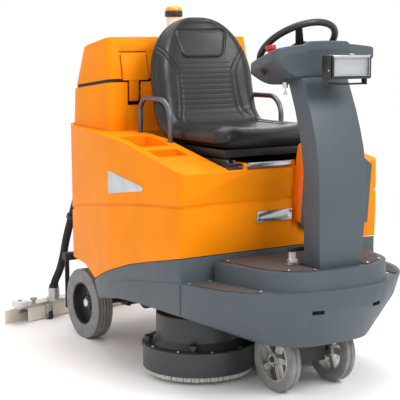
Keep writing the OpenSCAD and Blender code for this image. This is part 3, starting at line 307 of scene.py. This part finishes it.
def tidy_faces(mesh, merge=1e-5, flat=math.radians(0.6)):
    """Joins coincident points and turns the triangles of flat faces back into single faces."""
    bm = bmesh.new()
    bm.from_mesh(mesh)
    bmesh.ops.remove_doubles(bm, verts=bm.verts, dist=merge)
    bmesh.ops.dissolve_limit(bm, angle_limit=flat, verts=bm.verts, edges=bm.edges)
    bm.to_mesh(mesh)
    bm.free()


def bevel_edges(obj, width, segments, angle=34, chosen=None):
    """Rounds the edges of obj sharper than angle, or only the chosen ones: chosen(middle, length) says which."""
    bevel = obj.modifiers.new("bevel", "BEVEL")
    bevel.width = width
    bevel.segments = segments
    bevel.miter_outer = "MITER_ARC"
    if chosen:
        bm = bmesh.new()
        bm.from_mesh(obj.data)
        weight = bm.edges.layers.float.new("bevel_weight_edge")
        for edge in bm.edges:
            middle = (edge.verts[0].co + edge.verts[1].co) / 2
            sharp = edge.is_manifold and edge.calc_face_angle(0) > math.radians(angle)
            edge[weight] = float(sharp and chosen(middle, edge.calc_length()))
        bm.to_mesh(obj.data)
        bm.free()
        bevel.limit_method = "WEIGHT"
    else:
        bevel.limit_method = "ANGLE"
        bevel.angle_limit = math.radians(angle)
    applied(obj)


def refine(node, width=0.002, segments=3, broad=None):
    """A copy of a CAD node with its sharp edges rounded, which stands for it; broad is (width, chosen) for a first,
    wider rounding of the edges that chosen picks."""
    obj = bpy.data.objects.new(node + "_shape", frame["nodes"][node].data.copy())
    scene.collection.objects.link(obj)
    tidy_faces(obj.data)
    if broad:
        bevel_edges(obj, broad[0], 4, 25, broad[1])
    bevel_edges(obj, width, segments)
    obj.data.shade_smooth()
    obj.data.set_sharp_from_angle(angle=math.radians(34))
    give(obj, SLOT_OF[node])
    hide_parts(node)
    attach(obj, BODY_OF[node])
    return obj


ROUNDED = {
    "chassis_frame": 0.003, "chassis_cover": 0.0015, "platform_mat": 0.001, "step_mats": 0.0008, "deck_screws": 0.0006,
    "solution_tank": 0.0014, "solution_cap": 0.002, "front_catch": 0.0012, "service_panel": 0.003,
    "service_handle": 0.003, "recovery_tank": 0.0015, "arm_rails": 0.001, "column_cover": 0.002,
    "console_display": 0.0015, "ignition_key": 0.0008, "estop_button": 0.002, "lamp_bracket": 0.0012,
    "lamp_housing": 0.003, "lamp_lens": 0.001, "tank_lid": 0.002, "beacon_base": 0.002, "beacon_dome": 0.003,
    "lid_latch": 0.003, "seat_plate": 0.0015, "seat_rails": 0.001, "seat_pan": 0.004, "seat_lever": 0.0015,
    "steering_wheel": 0.003, "drive_pedal": 0.002, "pedal_bracket": 0.001, "steering_fork": 0.003,
    "front_tyre_right": 0.006, "front_tyre_left": 0.006, "front_hub_right": 0.002, "front_hub_left": 0.002,
    "rear_tyre_right": 0.004, "rear_tyre_left": 0.004, "rear_rim_right": 0.002, "rear_rim_left": 0.002,
    "deck_arms": 0.002, "brush_deck": 0.002, "brush_motors": 0.003, "squeegee_arm": 0.002, "squeegee_holder": 0.0015,
    "squeegee_blades": 0.0005, "squeegee_casters": 0.0015, "end_roller_right": 0.003, "end_roller_left": 0.003,
    "rear_brackets": 0.0015, "battery_pack": 0.004, "vacuum_motor": 0.003, "drive_axle": 0.003,
}
BROAD = {
    "solution_tank": (0.011, lambda at, long: at.z > 0.72 and not (at.x > 0.52 and abs(at.y) < 0.24)),
    "tank_lid": (0.016, lambda at, long: at.z > 1.19 and abs(at.y + 0.23) > 0.075),
    "recovery_tank": (0.007, lambda at, long: at.z > 0.95 and at.x > -0.595 and abs(at.y + 0.23) > 0.06),
    "chassis_cover": (0.008, lambda at, long: at.z > 0.395),
    "column_cover": (0.014, lambda at, long: at.z > 0.47 and long > 0.03),
    "brush_deck": (0.008, lambda at, long: at.z > 0.12),
}
SHAPES = {node: refine(node, width, broad=BROAD.get(node)) for node, width in ROUNDED.items()}


# ---------------------------------------------------------------- curves and grids
def smoothstep(a, b, x):
    t = np.clip((x - a) / (b - a), 0, 1)
    return t * t * (3 - 2 * t)


def ring_faces(rings, around, closed=True):
    """Quads that join rings of points, each of around points."""
    columns = around if closed else around - 1
    return [(i * around + j, i * around + (j + 1) % around, (i + 1) * around + (j + 1) % around, (i + 1) * around + j)
            for i in range(rings - 1) for j in range(columns)]


def capped(rings, around):
    """The faces of a closed tube of rings with a flat face on each end."""
    last = (rings - 1) * around
    return ring_faces(rings, around) + [tuple(range(around))[::-1], tuple(range(last, last + around))]


def smooth_route(points, step):
    """A smooth curve through points, sampled about every step metres."""
    points = [Vector(p) for p in points]
    ends = [2 * points[0] - points[1]] + points + [2 * points[-1] - points[-2]]
    curve = []
    for i in range(1, len(ends) - 2):
        p0, p1, p2, p3 = ends[i - 1:i + 3]
        count = max(1, round((p2 - p1).length / step))
        for k in range(count):
            t = k / count
            curve.append(0.5 * (2 * p1 + (p2 - p0) * t + (2 * p0 - 5 * p1 + 4 * p2 - p3) * t ** 2
                                + (3 * p1 - p0 - 3 * p2 + p3) * t ** 3))
    return curve + [points[-1]]


def swept(name, route, radii, around=20):
    """A closed tube along route, with its radius at each point."""
    verts, side = [], Vector((0, 1, 0))
    for i, point in enumerate(route):
        ahead = (route[min(i + 1, len(route) - 1)] - route[max(i - 1, 0)]).normalized()
        u = ahead.cross(side).normalized()
        w = ahead.cross(u)
        for k in range(around):
            a = 2 * math.pi * k / around
            verts.append(point + radii[i] * (math.cos(a) * u + math.sin(a) * w))
    return add_mesh(name, verts, capped(len(route), around))


def turned(name, profile, centre, axis="z", around=48):
    """A body turned about an axis through centre: profile is (distance along, radius) from one end to the other."""
    verts = []
    for along, radius in profile:
        for k in range(around):
            a = 2 * math.pi * k / around
            p, q = radius * math.cos(a), radius * math.sin(a)
            verts.append(Vector(centre) + Vector({"x": (along, p, q), "y": (q, along, p), "z": (p, q, along)}[axis]))
    obj = add_mesh(name, verts, capped(len(profile), around))
    obj.data.set_sharp_from_angle(angle=math.radians(40))
    return obj


def block(name, low, high, width=0.002, segments=3):
    """A box with rounded edges."""
    (x0, y0, z0), (x1, y1, z1) = low, high
    verts = [(x, y, z) for x in (x0, x1) for y in (y0, y1) for z in (z0, z1)]
    obj = add_mesh(name, verts, [(0, 1, 3, 2), (4, 6, 7, 5), (0, 4, 5, 1), (2, 3, 7, 6), (0, 2, 6, 4), (1, 5, 7, 3)])
    bevel_edges(obj, width, segments)
    obj.data.shade_smooth()
    obj.data.set_sharp_from_angle(angle=math.radians(40))
    return obj


def finish_piece(obj, slot, body, *replaced):
    """Gives a piece its material slot and body, and the CAD nodes that it stands for."""
    give(obj, slot)
    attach(obj, body)
    if replaced:
        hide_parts(*replaced)
    return obj


# ---------------------------------------------------------------- suction hose
HOSE_ROUTE = [
    (-0.836, -0.300, 0.112), (-0.836, -0.300, 0.140), (-0.823, -0.298, 0.172), (-0.787, -0.291, 0.228),
    (-0.752, -0.288, 0.300), (-0.725, -0.286, 0.374), (-0.690, -0.283, 0.450), (-0.662, -0.276, 0.520),
    (-0.646, -0.262, 0.600), (-0.640, -0.248, 0.680), (-0.639, -0.232, 0.760), (-0.640, -0.222, 0.840),
    (-0.643, -0.213, 0.905), (-0.645, -0.207, 0.945), (-0.642, -0.203, 0.980), (-0.633, -0.200, 1.002),
    (-0.616, -0.200, 1.012), (-0.596, -0.200, 1.012), (-0.576, -0.200, 1.012),
]
HOSE_D = 0.036


def make_hose():
    """Ribbed hose from the squeegee up to the recovery tank."""
    pitch, depth = 0.0078, 0.0013
    route = smooth_route(HOSE_ROUTE, pitch / 6)
    steps = [(q - p).length for p, q in zip(route, route[1:])]
    along = np.concatenate([[0], np.cumsum(steps)])
    length = float(along[-1])
    plain = np.minimum(along, length - along) < 0.03
    ribs = depth * (np.cos(2 * math.pi * along / pitch) - 1)
    hose = swept("hose_ribbed", route, (HOSE_D / 2 + np.where(plain, -0.4 * depth, ribs)).tolist())
    give(hose, "black_rubber")
    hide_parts("suction_hose")
    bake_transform(hose)


make_hose()


# ---------------------------------------------------------------- seat
def make_seat():
    """Bucket seat: one padded, sewn vinyl form swept from the cushion's front edge round and up to the back's top."""
    lean, bend_r, half = math.radians(12), 0.112, 0.038
    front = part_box("seat_cushion")[1][0]
    cushion_z, corner_x, back_long = 0.906, 0.0263, 0.467
    tangent = bend_r * math.tan((math.pi / 2 - lean) / 2)
    flat = front - corner_x - tangent
    arc = bend_r * (math.pi / 2 - lean)
    total = flat + arc + back_long - tangent
    stations = np.concatenate([np.linspace(0, 0.05, 26), np.arange(0.053, total - 0.04, 0.003),
                               total - 0.04 * (1 - np.sin(np.linspace(0.05, math.pi / 2, 20)))])

    def centre(s):
        if s <= flat:
            return front - s, cushion_z, math.pi
        if s <= flat + arc:
            a = (s - flat) / bend_r
            return (corner_x + tangent - bend_r * math.sin(a), cushion_z + bend_r * (1 - math.cos(a)), math.pi - a)
        up = s - flat - arc + tangent
        return corner_x - up * math.sin(lean), cushion_z + up * math.cos(lean), math.pi / 2 + lean

    # section: a rounded rectangle, its points evenly spaced
    fine = np.linspace(0, 2 * math.pi, 4001)
    u = np.sign(np.cos(fine)) * np.abs(np.cos(fine)) ** 0.42
    n = np.sign(np.sin(fine)) * np.abs(np.sin(fine)) ** 0.62
    run = np.concatenate([[0], np.cumsum(np.hypot(np.diff(u) * 0.236, np.diff(n) * half))])
    around = 300
    at = np.linspace(0, run[-1], around + 1)[:-1]
    u, n = np.interp(at, run, u), np.interp(at, run, n)
    top = smoothstep(0.0, 0.6, n)

    verts = []
    for s in stations:
        x, z, heading = centre(float(s))
        ahead = (math.cos(heading), math.sin(heading))
        out = (ahead[1], -ahead[0])
        on_back = float(smoothstep(flat, flat + arc, s))
        in_bend = math.exp(-((s - flat - arc * 0.5) / 0.085) ** 2)
        height = s - flat - arc + tangent - 0.026
        nose = min(1, s / 0.036)
        blunt = math.sqrt(max(0, 1 - (1 - nose) ** 2))
        w = 0.236 - 0.058 * (1 - math.sqrt(max(0, 1 - (1 - min(1, s / 0.058)) ** 2)))
        end_height = back_long - 0.026
        if height > 0.17:
            w = 0.237 * (max(0, 1 - ((height - 0.17) / (end_height - 0.17)) ** 2.2)) ** (1 / 2.2)
        left = total - s
        thick = half * blunt * (1 - 0.42 * float(smoothstep(0.2, 0.42, height)) * on_back)
        thick *= math.sqrt(max(0, 1 - (1 - min(1, left / 0.024)) ** 2))
        y = u * max(w, 0.004)
        lift = np.zeros(around)
        side = np.abs(u)
        # side bolsters, a dished middle and wings in the bend
        lift += 0.011 * np.exp(-((side - 0.8) / 0.15) ** 2) * (1 - 0.6 * float(smoothstep(0.3, 0.42, height)))
        lift -= 0.007 * np.clip(1 - (side / 0.62) ** 2, 0, 1)
        lift += 0.010 * in_bend * smoothstep(0.62, 0.85, side)
        lift += 0.006 * (1 - on_back) * np.exp(-((s - 0.06) / 0.035) ** 2)
        # double seams from the shoulders down to the cushion
        for offset in (0.0, 0.022):
            line = 0.122 + offset + 0.014 * in_bend + 0.02 * (1 - on_back)
            line += 0.12 * float(smoothstep(0.19, 0.40, height)) * on_back
            depth = 0.0045 * float(smoothstep(0.05, 0.09, s))
            lift -= depth * np.exp(-((np.abs(y) - line) / 0.0026) ** 2)
        # sewn channels across the middle
        middle = 1 - smoothstep(0.120, 0.128, np.abs(y))
        rows = max(0.0, math.cos(2 * math.pi * s / 0.021)) ** 10
        if s > 0.09 and height < 0.262:
            lift -= 0.0015 * rows * middle
        # head panel with its own seam
        if on_back > 0.99 and height > 0.25:
            half_y = 0.072 + 0.24 * (height - 0.27)
            across, up = np.maximum(np.abs(y) - half_y, 0), max(abs(height - 0.326) - 0.030, 0)
            edge = np.hypot(across, up) - 0.028
            lift += 0.003 * (1 - smoothstep(-0.014, 0.0, edge))
            lift -= 0.0050 * np.exp(-(edge / 0.0030) ** 2)
        lift *= top * blunt * min(1, left / 0.03)
        # piping at the join of cover and shell, the shell a little narrower
        shell = smoothstep(0.42, 0.5, -n)
        y = y * (1 - 0.022 * shell) - np.sign(u) * 0.0035 * np.exp(-((n + 0.42) / 0.07) ** 2) * (side > 0.6)
        depth = n * thick + lift
        for yi, di in zip(y, depth):
            verts.append((x + out[0] * di, yi, z + out[1] * di))
    seat = add_mesh("seat_bucket", verts, capped(len(stations), around))
    give(seat, "vinyl")
    seat.data.materials.append(MATERIALS["dark_plastic"])
    shell_columns = {j for j in range(around) if n[j] < -0.5}
    for index, face in enumerate(seat.data.polygons):
        if index < (len(stations) - 1) * around and index % around in shell_columns:
            face.material_index = 1
    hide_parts("seat_cushion", "seat_back")
    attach(seat, "seat")


make_seat()


# ---------------------------------------------------------------- console
def make_console():
    """Console: a crowned top with a hump, a rim band round it and a sloping underside down to the column."""
    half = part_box("console")[1][1]
    outline = [(0.797, 0.0), (0.797, half - 0.012), (0.780, half), (0.640, 0.214), (0.606, 0.196), (0.588, 0.165),
               (0.574, 0.10), (0.572, 0.0)]
    outline += [(x, -y) for x, y in reversed(outline[1:-1])]
    corners = [Vector((x, y, 0)) for x, y in outline]
    rim = []
    for i, a in enumerate(corners):
        b = corners[(i + 1) % len(corners)]
        count = max(2, round((b - a).length / 0.006))
        rim += [a.lerp(b, k / count) for k in range(count)]
    for _ in range(6):
        rim = [(rim[i - 1] + 2 * rim[i] + rim[(i + 1) % len(rim)]) / 4 for i in range(len(rim))]
    around = len(rim)
    middle = Vector((0.70, 0, 0))
    slope = (1.240 - 1.178) / (0.792 - 0.590)

    def top_z(x, y):
        crown = 0.016 * max(0.0, 1 - (y / half) ** 2) * float(smoothstep(0.60, 0.79, x))
        hump = 0.009 * float(1 - smoothstep(0.086, 0.100, abs(y))) * float(smoothstep(0.655, 0.675, x))
        return 1.178 + (x - 0.590) * slope + crown + hump

    def under_z(x):
        return 1.113 + max(0.0, x - 0.66) * 0.24

    verts = []
    rings = 0
    for k in range(26):
        share = (k + 0.4) / 26
        for p in rim:
            q = middle.lerp(p, share)
            verts.append((q.x, q.y, top_z(q.x, q.y)))
        rings += 1
    turned_in, skin = 0.985, 0.0355
    edge = [(turned_in, 0.0), (0.997, 0.0015), (1.0, 0.006), (1.0, 0.029), (0.996, 0.033), (turned_in, skin)]
    for share, drop in edge:
        for p in rim:
            q = middle.lerp(p, share)
            verts.append((q.x, q.y, top_z(q.x, q.y) - drop))
        rings += 1
    under_rings, draw_in = 14, 0.62
    throat_rear, throat_front, throat_half = 0.66, 0.776, 0.112
    for k in range(1, under_rings + 1):
        t = k / under_rings
        for p in rim:
            q = middle.lerp(p, turned_in)
            inner_x = min(max(throat_rear, throat_rear + (q.x - 0.6) * draw_in), throat_front)
            inner = Vector((inner_x, max(-throat_half, min(throat_half, q.y * draw_in)), 0))
            r = q.lerp(inner, t)
            start = top_z(q.x, q.y) - skin
            bulge = 0.012 * math.sin(math.pi * t)
            verts.append((r.x, r.y, start + (under_z(inner.x) - start) * t - bulge))
        rings += 1
    obj = add_mesh("console_shell", verts, capped(rings, around))
    obj.data.set_sharp_from_angle(angle=math.radians(50))
    finish_piece(obj, "grey_plastic", "machine", "console")
    ring = turned("key_ring", [(0, 0.010), (0.0, 0.013), (0.003, 0.013), (0.003, 0.008), (-0.004, 0.007)],
                  (0.700, -0.207, 1.155), "y")
    ring.data.transform(Matrix.Translation((0.700, -0.207, 1.155)) @ Matrix.Rotation(math.radians(38), 4, "X")
                        @ Matrix.Translation((-0.700, 0.207, -1.155)))
    finish_piece(ring, "dark_plastic", "machine")


make_console()


# ---------------------------------------------------------------- brushes
def make_bristles(side):
    """Rings of splayed tufts under the brush disc, which the CAD disc's bristle ring stands for."""
    node = "brush_left" if side > 0 else "brush_right"
    low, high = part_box(node)
    cx, cy = (low[0] + high[0]) / 2, (low[1] + high[1]) / 2
    outer, bottom, disc_z = (high[0] - low[0]) / 2, low[2], low[2] + 0.044
    verts, faces, around = [], [], 6
    rng = np.random.default_rng(7 + (side > 0))
    for radius in np.arange(0.082, outer - 0.004, 0.0105):
        count = int(2 * math.pi * radius / 0.0098)
        for k in range(count):
            a = 2 * math.pi * (k + 0.5 * (int(radius * 1000) % 2)) / count + rng.uniform(-0.01, 0.01)
            splay = 0.004 * (radius / outer) ** 2
            top = np.array((radius * math.cos(a), radius * math.sin(a)))
            foot = top * (1 + splay / radius) + rng.uniform(-0.0008, 0.0008, 2)
            start = len(verts)
            for level, (spot, r) in enumerate(((top, 0.0028), ((top + foot) / 2, 0.0036), (foot, 0.0046))):
                z = disc_z - (disc_z - bottom - 0.0004 * rng.uniform(0, 2)) * level / 2
                for j in range(around):
                    b = 2 * math.pi * j / around + a
                    verts.append((cx + spot[0] + r * math.cos(b), cy + spot[1] + r * math.sin(b), z))
            faces += [tuple(start + i for i in f) for f in capped(3, around)]
    tufts = add_mesh(node + "_tufts", verts, faces)
    finish_piece(tufts, "bristle", BODY_OF[node])
    disc = turned(node + "_disc", [(disc_z, 0.02), (disc_z, outer - 0.012), (disc_z + 0.004, outer - 0.004),
                                   (disc_z + 0.016, outer - 0.004), (disc_z + 0.020, outer - 0.010),
                                   (disc_z + 0.021, 0.09), (disc_z + 0.024, 0.085), (disc_z + 0.024, 0.02)],
                  (cx, cy, 0), "z", 96)
    finish_piece(disc, "dark_plastic", BODY_OF[node], node)


for side in (-1, 1):
    make_bristles(side)


def deck_details(side):
    """Flange with domed screws and latch knobs on a brush skirt."""
    low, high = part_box("brush_deck")
    skirt_r = (high[0] - low[0]) / 2
    cx, cy = (low[0] + high[0]) / 2, side * (high[1] - skirt_r)
    top = 0.127
    lip = turned(f"skirt_lip_{'left' if side > 0 else 'right'}",
                 [(top - 0.012, skirt_r - 0.001), (top - 0.012, skirt_r + 0.0035), (top - 0.002, skirt_r + 0.0035),
                  (top + 0.0015, skirt_r - 0.001), (top + 0.0015, skirt_r - 0.012)], (cx, cy, 0), "z", 128)
    finish_piece(lip, "deck_plastic", "deck")
    screws, screw_r, clear_of_motors = 10, skirt_r - 0.013, 0.06
    for k in range(screws):
        a = 2 * math.pi * (k + 0.5) / screws
        x, y = cx + screw_r * math.cos(a), cy + screw_r * math.sin(a)
        if abs(y) < clear_of_motors:
            continue
        dome = [(top, 0.007), (top + 0.0015, 0.0068), (top + 0.004, 0.0048), (top + 0.0052, 0.002)]
        screw = turned(f"skirt_screw_{'l' if side > 0 else 'r'}{k}", dome, (x, y, 0), "z", 20)
        finish_piece(screw, "bright_steel", "deck")
    knob_at_r = skirt_r - 0.022
    stem_and_head = [(top, 0.010), (top + 0.012, 0.010), (top + 0.013, 0.016), (top + 0.026, 0.017),
                     (top + 0.030, 0.012)]
    for a in (-112, -38):
        angle = math.radians(a * (1 if side < 0 else -1))
        x, y = cx + knob_at_r * math.cos(angle), cy + knob_at_r * math.sin(angle)
        knob = turned(f"skirt_knob_{'l' if side > 0 else 'r'}{abs(a)}", stem_and_head, (x, y, 0), "z", 28)
        finish_piece(knob, "dark_plastic", "deck")


for side in (-1, 1):
    deck_details(side)


# ---------------------------------------------------------------- wheels
def wheel_details(side):
    """Bearing ring and nut cap on each front wheel, and a hex nut on the rear ones."""
    word = "left" if side > 0 else "right"
    low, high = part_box("front_hub_" + word)
    x, z, face = (low[0] + high[0]) / 2, (low[2] + high[2]) / 2, high[1] if side > 0 else low[1]
    section = [(-0.004 * side, 0.0265), (0.0015 * side, 0.0265), (0.0022 * side, 0.021), (0.0002 * side, 0.0165),
               (-0.004 * side, 0.0165)]
    ring = turned(f"front_bearing_{word}", section, (x, face, z), "y")
    finish_piece(ring, "bright_steel", f"front_wheel_{word}")
    section = [(face - 0.012 * side, 0.0155), (face - 0.001 * side, 0.0155), (face + 0.0012 * side, 0.0125),
               (face + 0.0014 * side, 0.003)]
    cap = turned(f"front_cap_{word}", section, (x, 0, z), "y")
    finish_piece(cap, "bright_steel", f"front_wheel_{word}")
    low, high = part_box("rear_rim_" + word)
    x, z, face = (low[0] + high[0]) / 2, (low[2] + high[2]) / 2, high[1] if side > 0 else low[1]
    section = [(face - 0.030 * side, 0.022), (face - 0.018 * side, 0.022), (face - 0.012 * side, 0.017),
               (face - 0.010 * side, 0.008)]
    cap = turned(f"rear_nut_{word}", section, (x, 0, z), "y", 6)
    finish_piece(cap, "bright_steel", f"rear_wheel_{word}")


for side in (-1, 1):
    wheel_details(side)


# ---------------------------------------------------------------- lamp
def make_lamp_details():
    """Frame, reflector, side caps with screws and a top clip on the work lamp."""
    low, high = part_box("lamp_housing")
    lens_low, lens_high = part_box("lamp_lens")
    x, half, z0, z1 = high[0], high[1], low[2], high[2]
    middle_z = (z0 + z1) / 2
    frame_w, inset = 0.009, 0.003
    outer = [(-half + inset, z0 + inset), (half - inset, z0 + inset), (half - inset, z1 - inset),
             (-half + inset, z1 - inset)]
    inner = [(y - math.copysign(frame_w, y), z + (frame_w if z < middle_z else -frame_w)) for y, z in outer]
    verts = [(x + d, y, z) for d in (-0.001, 0.003) for loop in (outer, inner) for y, z in loop]
    faces = []
    for k in range(4):
        j = (k + 1) % 4
        faces += [(8 + k, 8 + j, 12 + j, 12 + k), (k, 4 + k, 4 + j, j), (k, j, 8 + j, 8 + k),
                  (4 + k, 12 + k, 12 + j, 4 + j)]
    bezel = add_mesh("lamp_bezel", verts, faces)
    bevel_edges(bezel, 0.001, 2)
    finish_piece(bezel, "bright_steel", "lamp")
    bezel.data.materials.append(MATERIALS["dark_plastic"])
    for face in bezel.data.polygons:
        face.material_index = int(abs(face.center.y) > half - frame_w - 0.001 or face.center.z < z0 + frame_w + 0.002)
    # reflector: a trough curved up and down, open to the lens
    verts, rows, columns = [], 17, 25
    for i in range(rows):
        for j in range(columns):
            a, b = 2 * i / (rows - 1) - 1, 2 * j / (columns - 1) - 1
            deep = 0.026 * (1 - a * a) * (1 - 0.5 * b ** 4) + 0.0008 * math.cos(16 * math.pi * b)
            verts.append((lens_low[0] - 0.002 - deep, b * (lens_high[1] - 0.002),
                          middle_z + a * (lens_high[2] - lens_low[2]) * 0.49))
    reflector = add_mesh("lamp_reflector", verts, ring_faces(rows, columns, False))
    finish_piece(reflector, "light_plastic", "lamp")
    for side in (-1, 1):
        word = "left" if side > 0 else "right"
        cap = block(f"lamp_cap_{word}", (low[0] + 0.004, side * half - 0.001, z0 + 0.004),
                    (high[0] - 0.002, side * half + 0.001, z1 - 0.004), 0.0009, 2)
        finish_piece(cap, "dark_plastic", "lamp")
        section = [(side * (half - 0.001), 0.004), (side * (half + 0.0022), 0.0036), (side * (half + 0.003), 0.0018)]
        screw = turned(f"lamp_screw_{word}", section, (high[0] - 0.012, 0, middle_z - 0.012), "y", 16)
        finish_piece(screw, "bright_steel", "lamp")
    clip = block("lamp_clip", (x - 0.004, -0.009, z1 - 0.006), (x + 0.0045, 0.009, z1 + 0.002), 0.001, 2)
    finish_piece(clip, "bright_steel", "lamp")


make_lamp_details()


# ---------------------------------------------------------------- hose cuffs
def make_hose_cuffs():
    """Rubber cuffs on the two ends of the hose."""
    cuff_r, lip_r = 0.0222, 0.0205
    low_end = [Vector((-0.836, -0.3, z)) for z in (0.113, 0.150, 0.152)]
    high_end = [Vector((x, -0.2, 1.012)) for x in (-0.612, -0.610, -0.578)]
    for word, spine, radii, body in (("low", low_end, [cuff_r, cuff_r, lip_r], "squeegee"),
                                     ("high", high_end, [lip_r, cuff_r, cuff_r], "machine")):
        cuff = swept("hose_cuff_" + word, spine, radii, 40)
        cuff.data.set_sharp_from_angle(angle=math.radians(40))
        finish_piece(cuff, "black_rubber", body)


make_hose_cuffs()


# ---------------------------------------------------------------- trim
def make_trim():
    """Plain badge on the right flank, and second materials: painted shade (dark plastic) on the bumper slots' inner
    walls, then beacon collar, hinge, pedal and catch.
    """
    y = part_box("solution_tank")[0][1]
    outline = [(0.014, 0.680), (0.275, 0.716), (0.283, 0.724), (0.275, 0.735), (0.020, 0.770), (0.012, 0.760),
               (0.010, 0.690)]
    depth = 0.0025
    verts = [(px, y - d, pz) for d in (-0.0005, depth) for px, pz in outline]
    count = len(outline)
    faces = [tuple(range(count)), tuple(range(count, 2 * count))[::-1]]
    faces += [(k, k + count, (k + 1) % count + count, (k + 1) % count) for k in range(count)]
    badge = add_mesh("side_plate", verts, faces)
    bevel_edges(badge, 0.0012, 2)
    finish_piece(badge, "bright_steel", "machine")
    # painted shade: the inner walls of the bumper slots take dark plastic, though the cover itself is grey
    cover = SHAPES["chassis_cover"].data
    cover.materials.append(MATERIALS["dark_plastic"])
    for face in cover.polygons:
        corners = [cover.vertices[k].co for k in face.vertices]
        if all(at.x > 0.86 and 0.1 < abs(at.y) < 0.162 and 0.32 < at.z < 0.356 for at in corners):
            face.material_index = 1
    post = SHAPES["beacon_base"].data
    post.materials.append(MATERIALS["dark_plastic"])
    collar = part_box("beacon_base")[1][2] - 0.026
    for face in post.polygons:
        face.material_index = int(face.center.z > collar)
    plate = SHAPES["seat_plate"].data
    plate.materials.append(MATERIALS["bright_steel"])
    for face in plate.polygons:
        if face.center.x > 0.4965 and -0.2 < face.center.y < 0.045:
            face.material_index = 1
    pedal = SHAPES["drive_pedal"].data
    pedal.materials.append(MATERIALS["black_rubber"])
    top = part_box("drive_pedal")[1][2]
    for face in pedal.polygons:
        if face.center.z > top - 0.0142:
            face.material_index = 1
    knob = SHAPES["front_catch"].data
    knob.materials.append(MATERIALS["red_plastic"])
    for face in knob.polygons:
        if face.center.y > 0.0165 and face.center.z > 0.6325:
            face.material_index = 1


make_trim()


# ---------------------------------------------------------------- stage
def lay_floor():
    """White floor that fades into the white cove a few metres out."""
    mesh = bpy.data.meshes.new("floor")
    mesh.from_pydata([(-30, -30, 0), (30, -30, 0), (30, 30, 0), (-30, 30, 0)], [], [(0, 1, 2, 3)])
    floor = bpy.data.objects.new("floor", mesh)
    scene.collection.objects.link(floor)
    s = Shader("floor", Roughness=0.9)
    s.set("Base Color", (0.95, 0.95, 0.95))
    nodes, links = s.material.node_tree.nodes, s.material.node_tree.links
    output = next(n for n in nodes if n.type == "OUTPUT_MATERIAL")
    plain = output.inputs["Surface"].links[0].from_socket
    cove = nodes.new("ShaderNodeEmission")
    away = nodes.new("ShaderNodeVectorMath")
    away.operation = "LENGTH"
    links.new(nodes.new("ShaderNodeTexCoord").outputs["Object"], away.inputs[0])
    mix = nodes.new("ShaderNodeMixShader")
    links.new(s.remap(away.outputs["Value"], 0, 1, 1.2, 2.6), mix.inputs["Fac"])
    links.new(plain, mix.inputs[1])
    links.new(cove.outputs["Emission"], mix.inputs[2])
    links.new(mix.outputs["Shader"], output.inputs["Surface"])
    mesh.materials.append(s.material)


def light(name, place, aim, size, power):
    data = bpy.data.lights.new(name, "AREA")
    data.shape = "RECTANGLE"
    data.size, data.size_y = size
    data.energy = power
    lamp = bpy.data.objects.new(name, data)
    lamp.location = place
    lamp.rotation_euler = (Vector(aim) - Vector(place)).to_track_quat("-Z", "Y").to_euler()
    scene.collection.objects.link(lamp)


lay_floor()
light("key", (1.4, -3.8, 3.0), (0, 0, 0.7), (2.4, 2.0), 20)
light("front", (3.8, 0.9, 3.7), (0.2, 0, 0.7), (2.6, 1.6), 125)
light("top", (0.0, 0.2, 4.2), (0.1, 0, 0.6), (3.0, 2.2), 84)
light("back", (-3.6, 2.2, 2.6), (-0.2, 0, 0.8), (2.4, 2.0), 24)


def studio_world():
    """White cove up to a little over the horizon, darker overhead where the lamps hang."""
    world = bpy.data.worlds.new("studio")
    scene.world = world
    world.use_nodes = True
    nodes, links = world.node_tree.nodes, world.node_tree.links
    height = nodes.new("ShaderNodeSeparateXYZ")
    links.new(nodes.new("ShaderNodeTexCoord").outputs["Generated"], height.inputs[0])
    nodes["Background"].inputs["Color"].default_value = (1, 1, 1, 1)
    fade = nodes.new("ShaderNodeMapRange")
    fade.interpolation_type = "SMOOTHSTEP"
    for socket, value in (("From Min", 0.08), ("From Max", 0.45), ("To Min", 1.0), ("To Max", 0.8)):
        fade.inputs[socket].default_value = value
    links.new(height.outputs["Z"], fade.inputs["Value"])
    links.new(fade.outputs["Result"], nodes["Background"].inputs["Strength"])


studio_world()
scene.view_settings.view_transform = "Standard"
